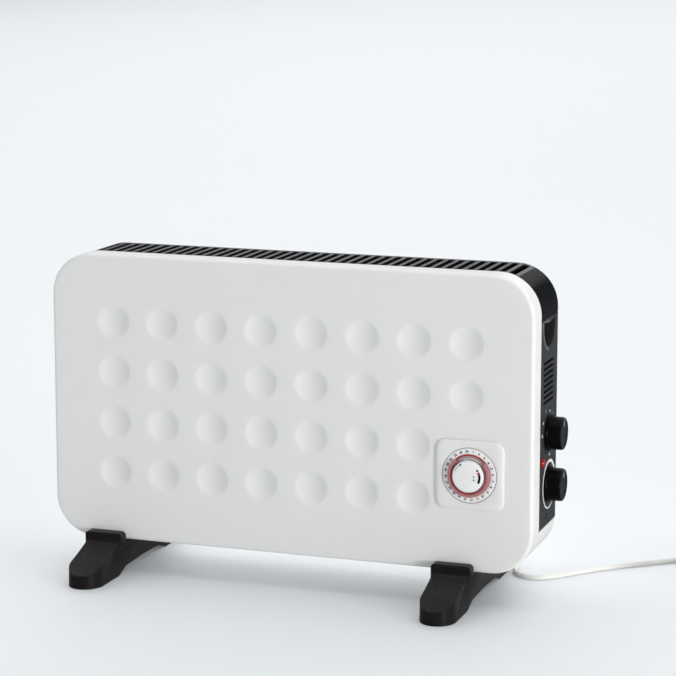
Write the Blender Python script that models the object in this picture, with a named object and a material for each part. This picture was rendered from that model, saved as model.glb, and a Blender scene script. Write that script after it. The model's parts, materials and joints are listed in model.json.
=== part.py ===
"""Fan convector heater with a 24-hour segment timer, as separate parts in metres, +Z up.

The origin is on the floor, under the middle of the heater's box without its cord. +X is to the
right of someone facing the front panel, and the front panel faces -Y. The cabinet's own middle is
a little to the left of the origin, because the knobs stand out on the right.
"""

import math

import bmesh
import bpy
from mathutils import Matrix, Vector

# Cabinet
PANEL_WIDTH = 0.600
PANEL_HEIGHT = 0.348
FLOOR_GAP = 0.042
BODY_DEPTH = 0.110
CORNER_RADIUS = 0.050
FLANGE_DEPTH = 0.030
EDGE_ROUND = 0.004
STEEL = 0.0008
PLASTIC = 0.0025
PLASTIC_INSET = 0.0008
GAP = 0.0003
THROUGH = 0.010  # how far a cutter runs past a wall

HALF_WIDTH = PANEL_WIDTH / 2
FACE_Y = -BODY_DEPTH / 2
REAR_Y = BODY_DEPTH / 2
FLANGE_Y = FACE_Y + FLANGE_DEPTH
BAND_Y = FLANGE_Y + GAP
PANEL_TOP = FLOOR_GAP + PANEL_HEIGHT
SEAM_TOP = 0.334
SEAM_LOW = 0.088

# Dimples pressed into the front panel, seen from the front: the lower two of the last column are
# left out for the timer.
DIMPLE_COLUMNS = 8
DIMPLE_ROWS = 4
DIMPLE_FIRST = (-0.2194, 0.3095)
DIMPLE_PITCH = (0.0628, 0.0613)
DIMPLE_RADIUS = 0.020
DIMPLE_DEPTH = 0.004
DIMPLE_SIDES = 10

# Grille
GRILLE_SLOTS = 41
GRILLE_PITCH = 0.0130
GRILLE_OFFSET = 0.0030
GRILLE_SLOT = 0.0076
GRILLE_MARGIN = 0.007

# Side panels
SIDE_Y = 0.015
SIDE_OUTER = HALF_WIDTH - PLASTIC_INSET
SIDE_INNER = SIDE_OUTER - PLASTIC
VENTS = 8
VENT_FIRST_Z = 0.235
VENT_PITCH = 0.0066
VENT_LENGTH = 0.046
VENT_HEIGHT = 0.0034
RECESS_TOP = 0.3305
RECESS_SIZE = (0.052, 0.0315)
RECESS_DEPTH = 0.028
RECESS_DIP = 0.003
RECESS_WALL = 0.002
SIDE_SCREW = (0.013, 0.098)

# Controls on the right
KNOB_Y = 0.0215
KNOB_REACH = 0.0175
KNOB_RADIUS = 0.0190
KNOB_SKIRT = 0.0215
KNOB_BORE = 0.0120
SELECTOR_Z = 0.1960
THERMOSTAT_Z = 0.1350
LAMP = (-0.010, 0.1665)
LAMP_BODY = 0.0044
LAMP_FLANGE = 0.0054
SHAFT_RADIUS = 0.0029
SHAFT_FROM = 0.2800
CABINET_X = -KNOB_REACH / 2

# Timer on the front panel. "Out" is the distance in front of the panel's face. Angles round the
# dial are in degrees clockwise from the top.
TIMER_X = 0.2257
TIMER_Z = 0.1570
BEZEL_SIDE = 0.082
BEZEL_CORNER = 0.012
BEZEL_OUT = 0.0033
DIAL_RADIUS = 0.032
TAPPET_RADII = (0.0203, 0.0249)
TAPPET_LENGTH = 0.007
TAPPET_TRAVEL = 0.0055
TAPPET_TOP = 0.0083
PRESSED_FROM = -42
PRESSED_TO = 50
CAP_RADIUS = 0.0185
CAP_OUT = 0.0113
OVERRIDE_RADIUS = 0.0143
OVERRIDE_AT = 73
OVERRIDE_SLOT = (64, 117)
TIMER_BODY = 0.060
TIMER_BODY_FROM = 0.0063
TIMER_BODY_TO = 0.0310
TIMER_POST = 0.0060
TIMER_MOTOR = 0.018

# Rear shell
REAR_SCREW_X = 0.262
REAR_SCREW_Z = (0.069, 0.346)
BASE_SLOTS = 16
BASE_SLOT_FIRST = -0.20
BASE_SLOT_PITCH = 0.022
BASE_SLOT_WIDTH = 0.007
BASE_SLOT_Y = (-0.012, 0.044)
REAR_SLOTS = 18
REAR_SLOT_FIRST = (-0.22, 0.094)
REAR_SLOT_PITCH = (0.020, 0.040)
REAR_SLOT_SIZE = (0.005, 0.028)

# Feet
FOOT_X = {"left": -0.2315, "right": 0.207}
FOOT_WIDTH = 0.0428
FOOT_TOE = 0.024
FOOT_HALF_LENGTH = 0.139
FOOT_ARCH = 0.0090
CLIP_WIDTH = 0.049
CLIP_TOP = 0.052
FOOT_SCREW_Y = {"front": -0.012, "rear": 0.030}

# Pan-head screws
SHANK_RADIUS = 0.0018
HEAD_HEIGHT = 0.0020
HEAD_RADII = {"foot": 0.0040, "rear": 0.0035, "side": 0.0029}
SCREW_LENGTHS = {"foot": 0.034, "rear": 0.012, "side": 0.012}

# Works inside
FAN_X = -0.040
FAN_Z = 0.088
FAN_RADIUS = 0.043
FAN_HUB = 0.012
FAN_SHAFT = 0.0020
FAN_BLADES = 5
FAN_PITCH = math.radians(32)
HEATER_X = (-0.245, 0.155)
HEATER_Y = (-0.020, 0.040)
HEATER_Z = (0.144, 0.184)
COIL_Y = (-0.003, 0.023)
COIL_RADIUS = 0.006
COIL_WIRE = 0.0007
COIL_TURNS = 17
MICA_X = (-0.205, -0.045, 0.115)
CUTOUT = (0.030, 0.010)
CUTOUT_RADIUS = 0.0080
SHIELD_LOW = (-0.240, -0.0430, 0.114)
SHIELD_HIGH = (0.165, -0.0420, 0.324)
SHEET = 0.001
TERMINALS = (0.2315, 0.026)

# Cord, in the frame of the whole heater and not of the cabinet
CORD_DIAMETER = 0.0063
CORD_EXIT = (0.2263, 0.0856, 0.066)
RELIEF_LENGTH = 0.030
GLAND_NECK = 0.0060
CORD_ROUTE = (
    CORD_EXIT,
    (0.2264, 0.0990, 0.0652),
    (0.2267, 0.1130, 0.0615),
    (0.2272, 0.1245, 0.0535),
    (0.2278, 0.1312, 0.0415),
    (0.2284, 0.1318, 0.0280),
    (0.2290, 0.1265, 0.0155),
    (0.2294, 0.1170, 0.0070),
    (0.2296, 0.1085, 0.0037),
    (0.2304, 0.0990, 0.0032),
    (0.2358, 0.0886, 0.0032),
    (0.2451, 0.0815, 0.0032),
    (0.2565, 0.0790, 0.0032),
    (0.2671, 0.0811, 0.0032),
    (0.2755, 0.0869, 0.0032),
    (0.2880, 0.1003, 0.0032),
    (0.3251, 0.1425, 0.0032),
    (0.3646, 0.1780, 0.0032),
    (0.4057, 0.2105, 0.0032),
    (0.4177, 0.2207, 0.0032),
)
ROUTE_STEP = 0.014
COIL_CENTRE = (0.4637, 0.2045)
COIL_TURN_RADIUS = 0.0360
COIL_FLOOR = 0.0014
COIL_HEIGHT = 1.87 * CORD_DIAMETER
COIL_LIP = 0.003
TIE_ANGLE = 250
TIE_SLACK = 0.0005
TIE_WALL = 0.0009
TIE_FLOOR = 0.0002
PLUG_X = COIL_CENTRE[0] + COIL_TURN_RADIUS + CORD_DIAMETER / 2
PLUG_Y = COIL_CENTRE[1] - 0.064
PLUG_Z = 0.0188
PIN_SPREAD = 0.0095
PIN_RADIUS = 0.0024
PIN_LENGTH = 0.019
PLUG_RADIUS = 0.0185
TAIL_START = ((-0.0300, 0.0110), (-0.0420, 0.0145), (-0.0520, 0.0178))
PLUG_PROFILE = (
    (0.0, 0.0),
    (0.0046, 0.0),
    (0.0072, -0.020),
    (0.0120, -0.024),
    (0.0160, -0.030),
    (PLUG_RADIUS, -0.040),
    (PLUG_RADIUS, -0.054),
    (0.0170, -0.056),
    (0.0, -0.056),
)


# Building blocks


def material(name, colour, roughness, metallic=0.0):
    made = bpy.data.materials.new(name)
    made.use_nodes = True
    shader = made.node_tree.nodes["Principled BSDF"]
    shader.inputs["Base Color"].default_value = (*colour, 1.0)
    shader.inputs["Roughness"].default_value = roughness
    shader.inputs["Metallic"].default_value = metallic
    return made


def on_axis(axis, u, v, along):
    """The point whose coordinate on one axis is `along` and whose other two, in order, are u and v."""
    if axis == "X":
        return Vector((along, u, v))
    if axis == "Y":
        return Vector((u, along, v))
    return Vector((u, v, along))


def loft(bm, rings):
    """Skin closed rings with the same number of points, and cap both ends."""
    made = [[bm.verts.new(point) for point in ring] for ring in rings]
    count = len(made[0])
    for ring, following in zip(made, made[1:]):
        for i in range(count):
            j = (i + 1) % count
            bm.faces.new((ring[i], ring[j], following[j], following[i]))
    bm.faces.new(made[0])
    bm.faces.new(made[-1])


def prism(bm, axis, outline, start, end):
    loft(bm, [[on_axis(axis, u, v, along) for u, v in outline] for along in (start, end)])


def box(bm, low, high):
    outline = ((low[0], low[1]), (high[0], low[1]), (high[0], high[1]), (low[0], high[1]))
    prism(bm, "Z", outline, low[2], high[2])


def turned(bm, axis, centre, profile, segments=20, closed=False):
    """Turn (radius, along) points round an axis. An open profile starts and ends on the axis."""
    rings = []
    for radius, along in profile:
        count = segments if radius > 0 else 1
        ring = []
        for i in range(count):
            angle = 2 * math.pi * i / segments
            u = centre[0] + radius * math.cos(angle)
            v = centre[1] + radius * math.sin(angle)
            ring.append(bm.verts.new(on_axis(axis, u, v, along)))
        rings.append(ring)
    if closed:
        rings.append(rings[0])
    for ring, following in zip(rings, rings[1:]):
        for i in range(segments):
            j = (i + 1) % segments
            if len(ring) == 1:
                bm.faces.new((ring[0], following[i], following[j]))
            elif len(following) == 1:
                bm.faces.new((ring[i], ring[j], following[0]))
            else:
                bm.faces.new((ring[i], ring[j], following[j], following[i]))


def disc(bm, axis, centre, radius, start, end, segments=16):
    turned(bm, axis, centre, ((0, start), (radius, start), (radius, end), (0, end)), segments)


def finished(name, bm, colour_of, at, parent):
    """A named object from the bmesh, with its origin at `at` in the parent's space."""
    bmesh.ops.recalc_face_normals(bm, faces=bm.faces)
    bmesh.ops.translate(bm, verts=bm.verts, vec=-Vector(at))
    mesh = bpy.data.meshes.new(name)
    bm.to_mesh(mesh)
    bm.free()
    mesh.shade_smooth()
    mesh.set_sharp_from_angle(angle=math.radians(35))
    made = bpy.data.objects.new(name, mesh)
    made.location = at
    made.parent = parent
    if colour_of is not None:
        mesh.materials.append(colour_of)
    bpy.context.scene.collection.objects.link(made)
    return made


def boolean(part, operation, shape, name):
    """Cut from, join to or keep part of an object with a hidden helper made by shape(bm)."""
    bm = bmesh.new()
    shape(bm)
    helper = finished(name, bm, None, (0, 0, 0), part.parent)
    helper.hide_render = True
    helper.display_type = "WIRE"
    modifier = part.modifiers.new(name, "BOOLEAN")
    modifier.operation = operation
    modifier.object = helper
    modifier.solver = "EXACT"


def rounded_outline(inset=0.0, steps=6):
    """The cabinet's front outline as (x, z) points, counter-clockwise from the right, moved inwards."""
    radius = CORNER_RADIUS - inset
    left, right = -HALF_WIDTH + CORNER_RADIUS, HALF_WIDTH - CORNER_RADIUS
    low, high = FLOOR_GAP + CORNER_RADIUS, PANEL_TOP - CORNER_RADIUS
    points = []
    for centre, first in (((right, high), 0), ((left, high), 90), ((left, low), 180), ((right, low), 270)):
        for i in range(steps + 1):
            angle = math.radians(first + 90 * i / steps)
            points.append((centre[0] + radius * math.cos(angle), centre[1] + radius * math.sin(angle)))
    return points


def arch_outline(inset_outer, inset_inner, z_low, steps=8):
    """The section of a skin that runs up one side, over the top and down the other, as (x, z)."""
    top = 2 * (steps + 1)
    outer = rounded_outline(inset_outer, steps)[:top]
    inner = rounded_outline(inset_inner, steps)[:top]
    outer = [(HALF_WIDTH - inset_outer, z_low), *outer, (-HALF_WIDTH + inset_outer, z_low)]
    inner = [(HALF_WIDTH - inset_inner, z_low), *inner, (-HALF_WIDTH + inset_inner, z_low)]
    return outer + inner[::-1]


def rounded_square(centre, side, radius, steps=4):
    half = side / 2 - radius
    points = []
    for sx, sz, first in ((1, 1, 0), (-1, 1, 90), (-1, -1, 180), (1, -1, 270)):
        for i in range(steps + 1):
            angle = math.radians(first + 90 * i / steps)
            x = centre[0] + sx * half + radius * math.cos(angle)
            z = centre[1] + sz * half + radius * math.sin(angle)
            points.append((x, z))
    return points


# Casing


def tray(bm, face_y, rim_y, wall):
    """A shallow pressed tray with the cabinet's outline, its edge rounded, open towards rim_y."""
    way = 1 if rim_y > face_y else -1
    rings = []
    for skin, depth in ((0.0, 0.0), (wall, wall)):
        radius = EDGE_ROUND - skin
        side = []
        for i in range(4):
            angle = math.pi / 2 * i / 3
            inset = skin + radius * (1 - math.sin(angle))
            y = face_y + way * (depth + radius * (1 - math.cos(angle)))
            side.append([on_axis("Y", x, z, y) for x, z in rounded_outline(inset)])
        side.append([on_axis("Y", x, z, rim_y) for x, z in rounded_outline(skin)])
        rings.append(side)
    loft(bm, rings[0] + rings[1][::-1])


def dimple_centres():
    for row in range(DIMPLE_ROWS):
        for column in range(DIMPLE_COLUMNS):
            if column == DIMPLE_COLUMNS - 1 and row >= 2:
                continue
            yield DIMPLE_FIRST[0] + column * DIMPLE_PITCH[0], DIMPLE_FIRST[1] - row * DIMPLE_PITCH[1]


def dimple_profile(y, back_y):
    """A shallow ball section that starts from a flat at back_y."""
    ball = (DIMPLE_RADIUS**2 + DIMPLE_DEPTH**2) / (2 * DIMPLE_DEPTH)
    middle = DIMPLE_RADIUS * 0.55
    depth = DIMPLE_DEPTH - (ball - math.sqrt(ball**2 - middle**2))
    rim = DIMPLE_RADIUS
    return ((0, back_y), (rim, back_y), (rim, y), (middle, y + depth), (0, y + DIMPLE_DEPTH))


def front_panel(steel, cabinet):
    bm = bmesh.new()
    tray(bm, FACE_Y, FLANGE_Y, STEEL)
    panel = finished("front_panel", bm, steel, (0, 0, FLOOR_GAP), cabinet)

    def bosses(bm):
        for centre in dimple_centres():
            inner = FACE_Y + STEEL
            turned(bm, "Y", centre, dimple_profile(inner, inner - STEEL / 2), DIMPLE_SIDES)

    def hollows(bm):
        for centre in dimple_centres():
            turned(bm, "Y", centre, dimple_profile(FACE_Y, FACE_Y - 0.001), DIMPLE_SIDES)
        disc(bm, "Y", (TIMER_X, TIMER_Z), 0.0275, FACE_Y - THROUGH, FACE_Y + THROUGH, 24)

    boolean(panel, "UNION", bosses, "dimple_bosses")
    boolean(panel, "DIFFERENCE", hollows, "dimple_hollows")


def rear_screw_places():
    return [(side * REAR_SCREW_X, z) for side in (-1, 1) for z in REAR_SCREW_Z]


def rear_shell(steel, cabinet):
    bm = bmesh.new()
    tray(bm, REAR_Y, BAND_Y, STEEL)
    shell = finished("rear_shell", bm, steel, (0, REAR_Y, FLOOR_GAP), cabinet)

    def above_seam(bm):
        outline = arch_outline(-0.010, PLASTIC_INSET + PLASTIC + GAP, SEAM_LOW - GAP)
        prism(bm, "Y", outline, BAND_Y - THROUGH, REAR_Y + THROUGH)

    def openings(bm):
        for i in range(BASE_SLOTS):
            x = BASE_SLOT_FIRST + i * BASE_SLOT_PITCH
            low = (x, BASE_SLOT_Y[0], FLOOR_GAP - THROUGH)
            box(bm, low, (x + BASE_SLOT_WIDTH, BASE_SLOT_Y[1], FLOOR_GAP + THROUGH))
        for row in range(2):
            for i in range(REAR_SLOTS):
                x = REAR_SLOT_FIRST[0] + i * REAR_SLOT_PITCH[0]
                z = REAR_SLOT_FIRST[1] + row * REAR_SLOT_PITCH[1]
                low = (x, REAR_Y - THROUGH, z)
                box(bm, low, (x + REAR_SLOT_SIZE[0], REAR_Y + THROUGH, z + REAR_SLOT_SIZE[1]))
        cord = (CORD_EXIT[0] - CABINET_X, CORD_EXIT[2])
        disc(bm, "Y", cord, GLAND_NECK + 0.0004, REAR_Y - THROUGH, REAR_Y + THROUGH)
        for place in rear_screw_places():
            disc(bm, "Y", place, SHANK_RADIUS + GAP, REAR_Y - THROUGH, REAR_Y + THROUGH, 10)
        for x in FOOT_X.values():
            for y in FOOT_SCREW_Y.values():
                disc(bm, "Z", (x, y), SHANK_RADIUS + 0.0006, FLOOR_GAP - THROUGH, FLOOR_GAP + THROUGH, 10)

    boolean(shell, "DIFFERENCE", above_seam, "shell_above_seam")
    boolean(shell, "DIFFERENCE", openings, "shell_openings")


def top_grille(plastic, cabinet):
    bm = bmesh.new()
    outline = arch_outline(PLASTIC_INSET, PLASTIC_INSET + PLASTIC, SEAM_TOP)
    prism(bm, "Y", outline, BAND_Y, REAR_Y)
    grille = finished("top_grille", bm, plastic, (0, 0, PANEL_TOP), cabinet)

    def slots(bm):
        for i in range(GRILLE_SLOTS):
            x = (i - (GRILLE_SLOTS - 1) / 2) * GRILLE_PITCH + GRILLE_OFFSET
            low = (x - GRILLE_SLOT / 2, BAND_Y + GRILLE_MARGIN, PANEL_TOP - THROUGH)
            high = (x + GRILLE_SLOT / 2, REAR_Y - GRILLE_MARGIN, PANEL_TOP + THROUGH)
            box(bm, low, high)

    boolean(grille, "DIFFERENCE", slots, "grille_slots")


def recess_outline(margin):
    """The hand recess as (y, z): a D lying on its back, its top edge dipping in the middle."""
    half = RECESS_SIZE[0] / 2
    straight = 0.006
    top = []
    for i in range(7):
        share = i / 6
        dip = RECESS_DIP * math.sin(math.pi * share) ** 2
        top.append((SIDE_Y + (half + margin) * (1 - 2 * share), RECESS_TOP + margin - dip))
    arc = []
    height = RECESS_SIZE[1] - straight
    for i in range(11):
        angle = math.pi * (1 + i / 10)
        y = SIDE_Y + (half + margin) * math.cos(angle)
        arc.append((y, RECESS_TOP - straight + (height + margin) * math.sin(angle)))
    return top + arc


def side_panel(name, side, plastic, cabinet, round_holes):
    """A moulded side with its vents and hand recess. `side` is 1 on the right and -1 on the left."""
    bm = bmesh.new()
    inner, outer = sorted((side * SIDE_INNER, side * SIDE_OUTER))
    box(bm, (inner, BAND_Y, SEAM_LOW), (outer, REAR_Y, SEAM_TOP - GAP))
    panel = finished(name, bm, plastic, (side * SIDE_OUTER, SIDE_Y, SEAM_LOW), cabinet)
    floor = SIDE_OUTER - RECESS_DEPTH

    def cup(bm):
        start, end = side * (SIDE_OUTER - PLASTIC / 2), side * (floor - RECESS_WALL)
        prism(bm, "X", recess_outline(RECESS_WALL), start, end)

    def holes(bm):
        prism(bm, "X", recess_outline(0), side * (SIDE_OUTER + THROUGH), side * floor)
        for i in range(VENTS):
            z = VENT_FIRST_Z + i * VENT_PITCH
            low = (side * SIDE_OUTER - THROUGH, SIDE_Y - VENT_LENGTH / 2, z - VENT_HEIGHT / 2)
            high = (side * SIDE_OUTER + THROUGH, SIDE_Y + VENT_LENGTH / 2, z + VENT_HEIGHT / 2)
            box(bm, low, high)
        for centre, radius in round_holes:
            disc(bm, "X", centre, radius, side * SIDE_OUTER - THROUGH, side * SIDE_OUTER + THROUGH, 20)

    boolean(panel, "UNION", cup, name + "_cup")
    boolean(panel, "DIFFERENCE", holes, name + "_holes")


# Feet and screws


def foot_outline():
    """The front half of a foot from the side, as (y, z), from the seam in the middle."""
    face = FACE_Y - GAP
    top = FLOOR_GAP - GAP
    return (
        (-GAP / 2, FOOT_ARCH),
        (-0.050, FOOT_ARCH - 0.0015),
        (-0.070, 0.0),
        (-FOOT_HALF_LENGTH, 0.0),
        (-FOOT_HALF_LENGTH, 0.0165),
        (-0.1150, 0.0265),
        (-0.0945, 0.0325),
        (-0.0700, 0.0418),
        (-0.0665, CLIP_TOP),
        (face, CLIP_TOP),
        (face, top),
        (-GAP / 2, top),
    )


def foot_plan(x, way):
    """The foot from above, as (x, y): a wide clip, a narrower body and a round toe."""
    clip, half = CLIP_WIDTH / 2, FOOT_WIDTH / 2
    clip_end, body_start = 0.067, 0.074
    points = [(x + clip, way * clip_end), (x + clip, -way * 0.01), (x - clip, -way * 0.01)]
    points += [(x - clip, way * clip_end), (x - half, way * body_start)]
    for i in range(11):
        angle = math.pi * (1 - i / 10)
        y = way * (FOOT_HALF_LENGTH - FOOT_TOE + FOOT_TOE * math.sin(angle))
        points.append((x + half * math.cos(angle), y))
    return [*points, (x + half, way * body_start)]


def foot_half(side, end, plastic, cabinet):
    name = f"foot_{side}_{end}"
    x = FOOT_X[side]
    way = -1 if end == "front" else 1
    screw = (x, FOOT_SCREW_Y[end])
    bm = bmesh.new()
    outline = [(-way * y, z) for y, z in foot_outline()]
    prism(bm, "X", outline, x - CLIP_WIDTH / 2, x + CLIP_WIDTH / 2)
    foot = finished(name, bm, plastic, (x, 0, 0), cabinet)

    def plan(bm):
        prism(bm, "Z", foot_plan(x, way), -0.01, 0.08)

    def screw_hole(bm):
        seat = FOOT_ARCH + 0.006
        well = HEAD_RADII["foot"] + 0.0006
        hole = SHANK_RADIUS + 0.0006
        profile = ((0, 0.0), (well, 0.0), (well, seat), (hole, seat), (hole, 0.06), (0, 0.06))
        turned(bm, "Z", screw, profile, 12)

    boolean(foot, "INTERSECT", plan, name + "_plan")
    boolean(foot, "DIFFERENCE", screw_hole, name + "_hole")


def screw(name, kind, axis, centre, head_start, way, steel, cabinet):
    """A pan-head screw whose head starts at head_start and whose shank goes `way` along the axis."""
    wide = HEAD_RADII[kind]
    head = head_start + way * HEAD_HEIGHT
    end = head + way * SCREW_LENGTHS[kind]
    shank = SHANK_RADIUS
    profile = ((0, head_start), (wide, head_start), (wide, head), (shank, head), (shank, end), (0, end))
    bm = bmesh.new()
    turned(bm, axis, centre, profile, 10)
    finished(name, bm, steel, on_axis(axis, *centre, head_start), cabinet)


def screws(steel, cabinet):
    for side, x in FOOT_X.items():
        for end, y in FOOT_SCREW_Y.items():
            start = FOOT_ARCH + 0.0035
            screw(f"foot_screw_{side}_{end}", "foot", "Z", (x, y), start, 1, steel, cabinet)
    start = REAR_Y + GAP + HEAD_HEIGHT
    for i, place in enumerate(rear_screw_places()):
        screw(f"rear_screw_{i + 1}", "rear", "Y", place, start, -1, steel, cabinet)
    for side, way in (("left", -1), ("right", 1)):
        start = way * (SIDE_OUTER - 0.0008)
        screw(f"side_screw_{side}", "side", "X", SIDE_SCREW, start, -way, steel, cabinet)


# Controls


def knob(name, z, plastic, cabinet):
    base = SIDE_OUTER + 0.0004
    reach = HALF_WIDTH + KNOB_REACH
    bore = SHAFT_RADIUS + GAP
    profile = (
        (0, base + KNOB_BORE),
        (bore, base + KNOB_BORE),
        (bore, base),
        (KNOB_SKIRT, base),
        (KNOB_SKIRT, base + 0.0020),
        (KNOB_RADIUS + 0.0004, base + 0.0030),
        (KNOB_RADIUS, reach - 0.0020),
        (KNOB_RADIUS - 0.0018, reach),
        (0, reach),
    )
    bm = bmesh.new()
    turned(bm, "X", (KNOB_Y, z), profile, 20)
    finished(name, bm, plastic, (base, KNOB_Y, z), cabinet)


def shaft(name, z, steel, cabinet):
    bm = bmesh.new()
    disc(bm, "X", (KNOB_Y, z), SHAFT_RADIUS, SHAFT_FROM, SIDE_OUTER + KNOB_BORE, 16)
    finished(name, bm, steel, (SHAFT_FROM, KNOB_Y, z), cabinet)


def control_body(name, z, size, plastic, cabinet):
    """The switch or thermostat behind a knob, open where the shaft goes in."""
    front = SIDE_INNER - GAP
    bm = bmesh.new()
    low = (front - size[0], KNOB_Y - size[1] / 2, z - size[2] / 2)
    box(bm, low, (front, KNOB_Y + size[1] / 2, z + size[2] / 2))
    body = finished(name, bm, plastic, (front, KNOB_Y, z), cabinet)

    def bore(bm):
        disc(bm, "X", (KNOB_Y, z), SHAFT_RADIUS + 0.0004, SHAFT_FROM - 0.0005, front + THROUGH, 16)

    boolean(body, "DIFFERENCE", bore, name + "_bore")


def pilot_lamp(lens, cabinet):
    seat = SIDE_OUTER + GAP
    back, rim, dome = seat - 0.020, seat + 0.0008, 0.0024
    profile = [(0, back), (LAMP_BODY, back), (LAMP_BODY, seat), (LAMP_FLANGE, seat), (LAMP_FLANGE, rim)]
    for angle in (22.5, 45.0, 67.5):
        turn = math.radians(angle)
        profile.append((0.0050 * math.cos(turn), rim + dome * math.sin(turn)))
    profile.append((0, rim + dome))
    bm = bmesh.new()
    turned(bm, "X", LAMP, profile, 16)
    finished("pilot_lamp", bm, lens, (seat, *LAMP), cabinet)


# Timer


def timer_bezel(plastic, cabinet):
    centre = (TIMER_X, TIMER_Z)
    back, front = FACE_Y - GAP, FACE_Y - BEZEL_OUT
    rings = []
    for inset, y in ((0, back), (0, front + 0.0015), (0.0005, front + 0.0005), (0.0018, front)):
        outline = rounded_square(centre, BEZEL_SIDE - 2 * inset, BEZEL_CORNER - inset)
        rings.append([on_axis("Y", x, z, y) for x, z in outline])
    bm = bmesh.new()
    loft(bm, rings)
    bezel = finished("timer_bezel", bm, plastic, (TIMER_X, FACE_Y, TIMER_Z), cabinet)

    def opening(bm):
        disc(bm, "Y", centre, DIAL_RADIUS + 0.0005, FACE_Y - THROUGH, FACE_Y + THROUGH, 32)

    boolean(bezel, "DIFFERENCE", opening, "bezel_opening")


def timer_dial(plastic, cabinet):
    """The day ring: its number band, and the groove that the tappets slide in."""
    inner, outer = TAPPET_RADII
    groove = FACE_Y + 0.0045
    back = FACE_Y + 0.0060
    band = FACE_Y - BEZEL_OUT
    profile = (
        (DIAL_RADIUS, band),
        (outer + GAP, band),
        (outer + GAP, groove),
        (inner - GAP, groove),
        (inner - GAP, band),
        (inner - 0.0011, band),
        (inner - 0.0011, back),
        (outer + 0.0013, back),
        (outer + 0.0013, FACE_Y - 0.0006),
        (DIAL_RADIUS, FACE_Y - 0.0006),
    )
    bm = bmesh.new()
    turned(bm, "Y", (TIMER_X, TIMER_Z), profile, 28, closed=True)
    finished("timer_dial", bm, plastic, (TIMER_X, FACE_Y, TIMER_Z), cabinet)


def arc_outline(inner, outer, first, last, steps):
    """An arc-shaped slab as (x, z), its angles in degrees clockwise from the top, round the timer."""
    points = []
    for radius, start, end in ((outer, first, last), (inner, last, first)):
        for i in range(steps + 1):
            angle = math.radians(start + (end - start) * i / steps)
            points.append((TIMER_X + radius * math.sin(angle), TIMER_Z + radius * math.cos(angle)))
    return points


def tappets(name, first, last, top, steps, plastic, cabinet):
    """A run of tappets whose tops stand `top` in front of the panel's face."""
    bm = bmesh.new()
    outline = arc_outline(*TAPPET_RADII, first, last, steps)
    prism(bm, "Y", outline, FACE_Y - top, FACE_Y - top + TAPPET_LENGTH)
    finished(name, bm, plastic, (TIMER_X, FACE_Y, TIMER_Z), cabinet)


def timer_centre_cap(plastic, cabinet):
    back, front = FACE_Y - 0.0040, FACE_Y - CAP_OUT
    rim, edge = CAP_RADIUS, 0.0012
    profile = ((0, back), (rim, back), (rim, front + edge), (rim - edge, front), (0, front))
    bm = bmesh.new()
    turned(bm, "Y", (TIMER_X, TIMER_Z), profile, 32)
    cap = finished("timer_centre_cap", bm, plastic, (TIMER_X, FACE_Y, TIMER_Z), cabinet)

    def slot(bm):
        outline = arc_outline(OVERRIDE_RADIUS - 0.0014, OVERRIDE_RADIUS + 0.0014, *OVERRIDE_SLOT, 8)
        prism(bm, "Y", outline, FACE_Y - 2 * THROUGH, FACE_Y)

    boolean(cap, "DIFFERENCE", slot, "cap_slot")


def timer_override_lever(plastic, cabinet):
    """A ring round the timer's post, with an arm whose tip comes out through the cap's slot."""
    back, front = FACE_Y - 0.0010, FACE_Y - 0.0034
    bore, rim = TIMER_POST + 0.0006, 0.0095
    profile = ((bore, back), (rim, back), (rim, front), (bore, front))
    bm = bmesh.new()
    turned(bm, "Y", (TIMER_X, TIMER_Z), profile, 20, closed=True)
    lever = finished("timer_override_lever", bm, plastic, (TIMER_X, FACE_Y, TIMER_Z), cabinet)

    def arm(bm):
        outline = arc_outline(rim - 0.001, OVERRIDE_RADIUS + 0.0011, OVERRIDE_AT - 4, OVERRIDE_AT + 4, 2)
        prism(bm, "Y", outline, back - 0.0002, front + 0.0002)

    def tip(bm):
        outline = arc_outline(
            OVERRIDE_RADIUS - 0.0011, OVERRIDE_RADIUS + 0.0009, OVERRIDE_AT - 5, OVERRIDE_AT + 5, 2
        )
        prism(bm, "Y", outline, front + 0.0010, FACE_Y - CAP_OUT - 0.0010)

    boolean(lever, "UNION", arm, "override_arm")
    boolean(lever, "UNION", tip, "override_tip")


def timer_works(plastic, steel, cabinet):
    front, back = FACE_Y + TIMER_BODY_FROM, FACE_Y + TIMER_BODY_TO
    bm = bmesh.new()
    prism(bm, "Y", rounded_square((TIMER_X, TIMER_Z), TIMER_BODY, 0.005, 2), front, back)
    housing = finished("timer_housing", bm, plastic, (TIMER_X, front, TIMER_Z), cabinet)

    def post(bm):
        disc(bm, "Y", (TIMER_X, TIMER_Z), TIMER_POST, FACE_Y - 0.0037, front + 0.002, 20)

    boolean(housing, "UNION", post, "timer_post")
    bm = bmesh.new()
    disc(bm, "Y", (TIMER_X, TIMER_Z), TIMER_MOTOR, back + GAP, back + 0.0110, 20)
    finished("timer_motor", bm, steel, (TIMER_X, back, TIMER_Z), cabinet)


# Works inside


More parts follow.
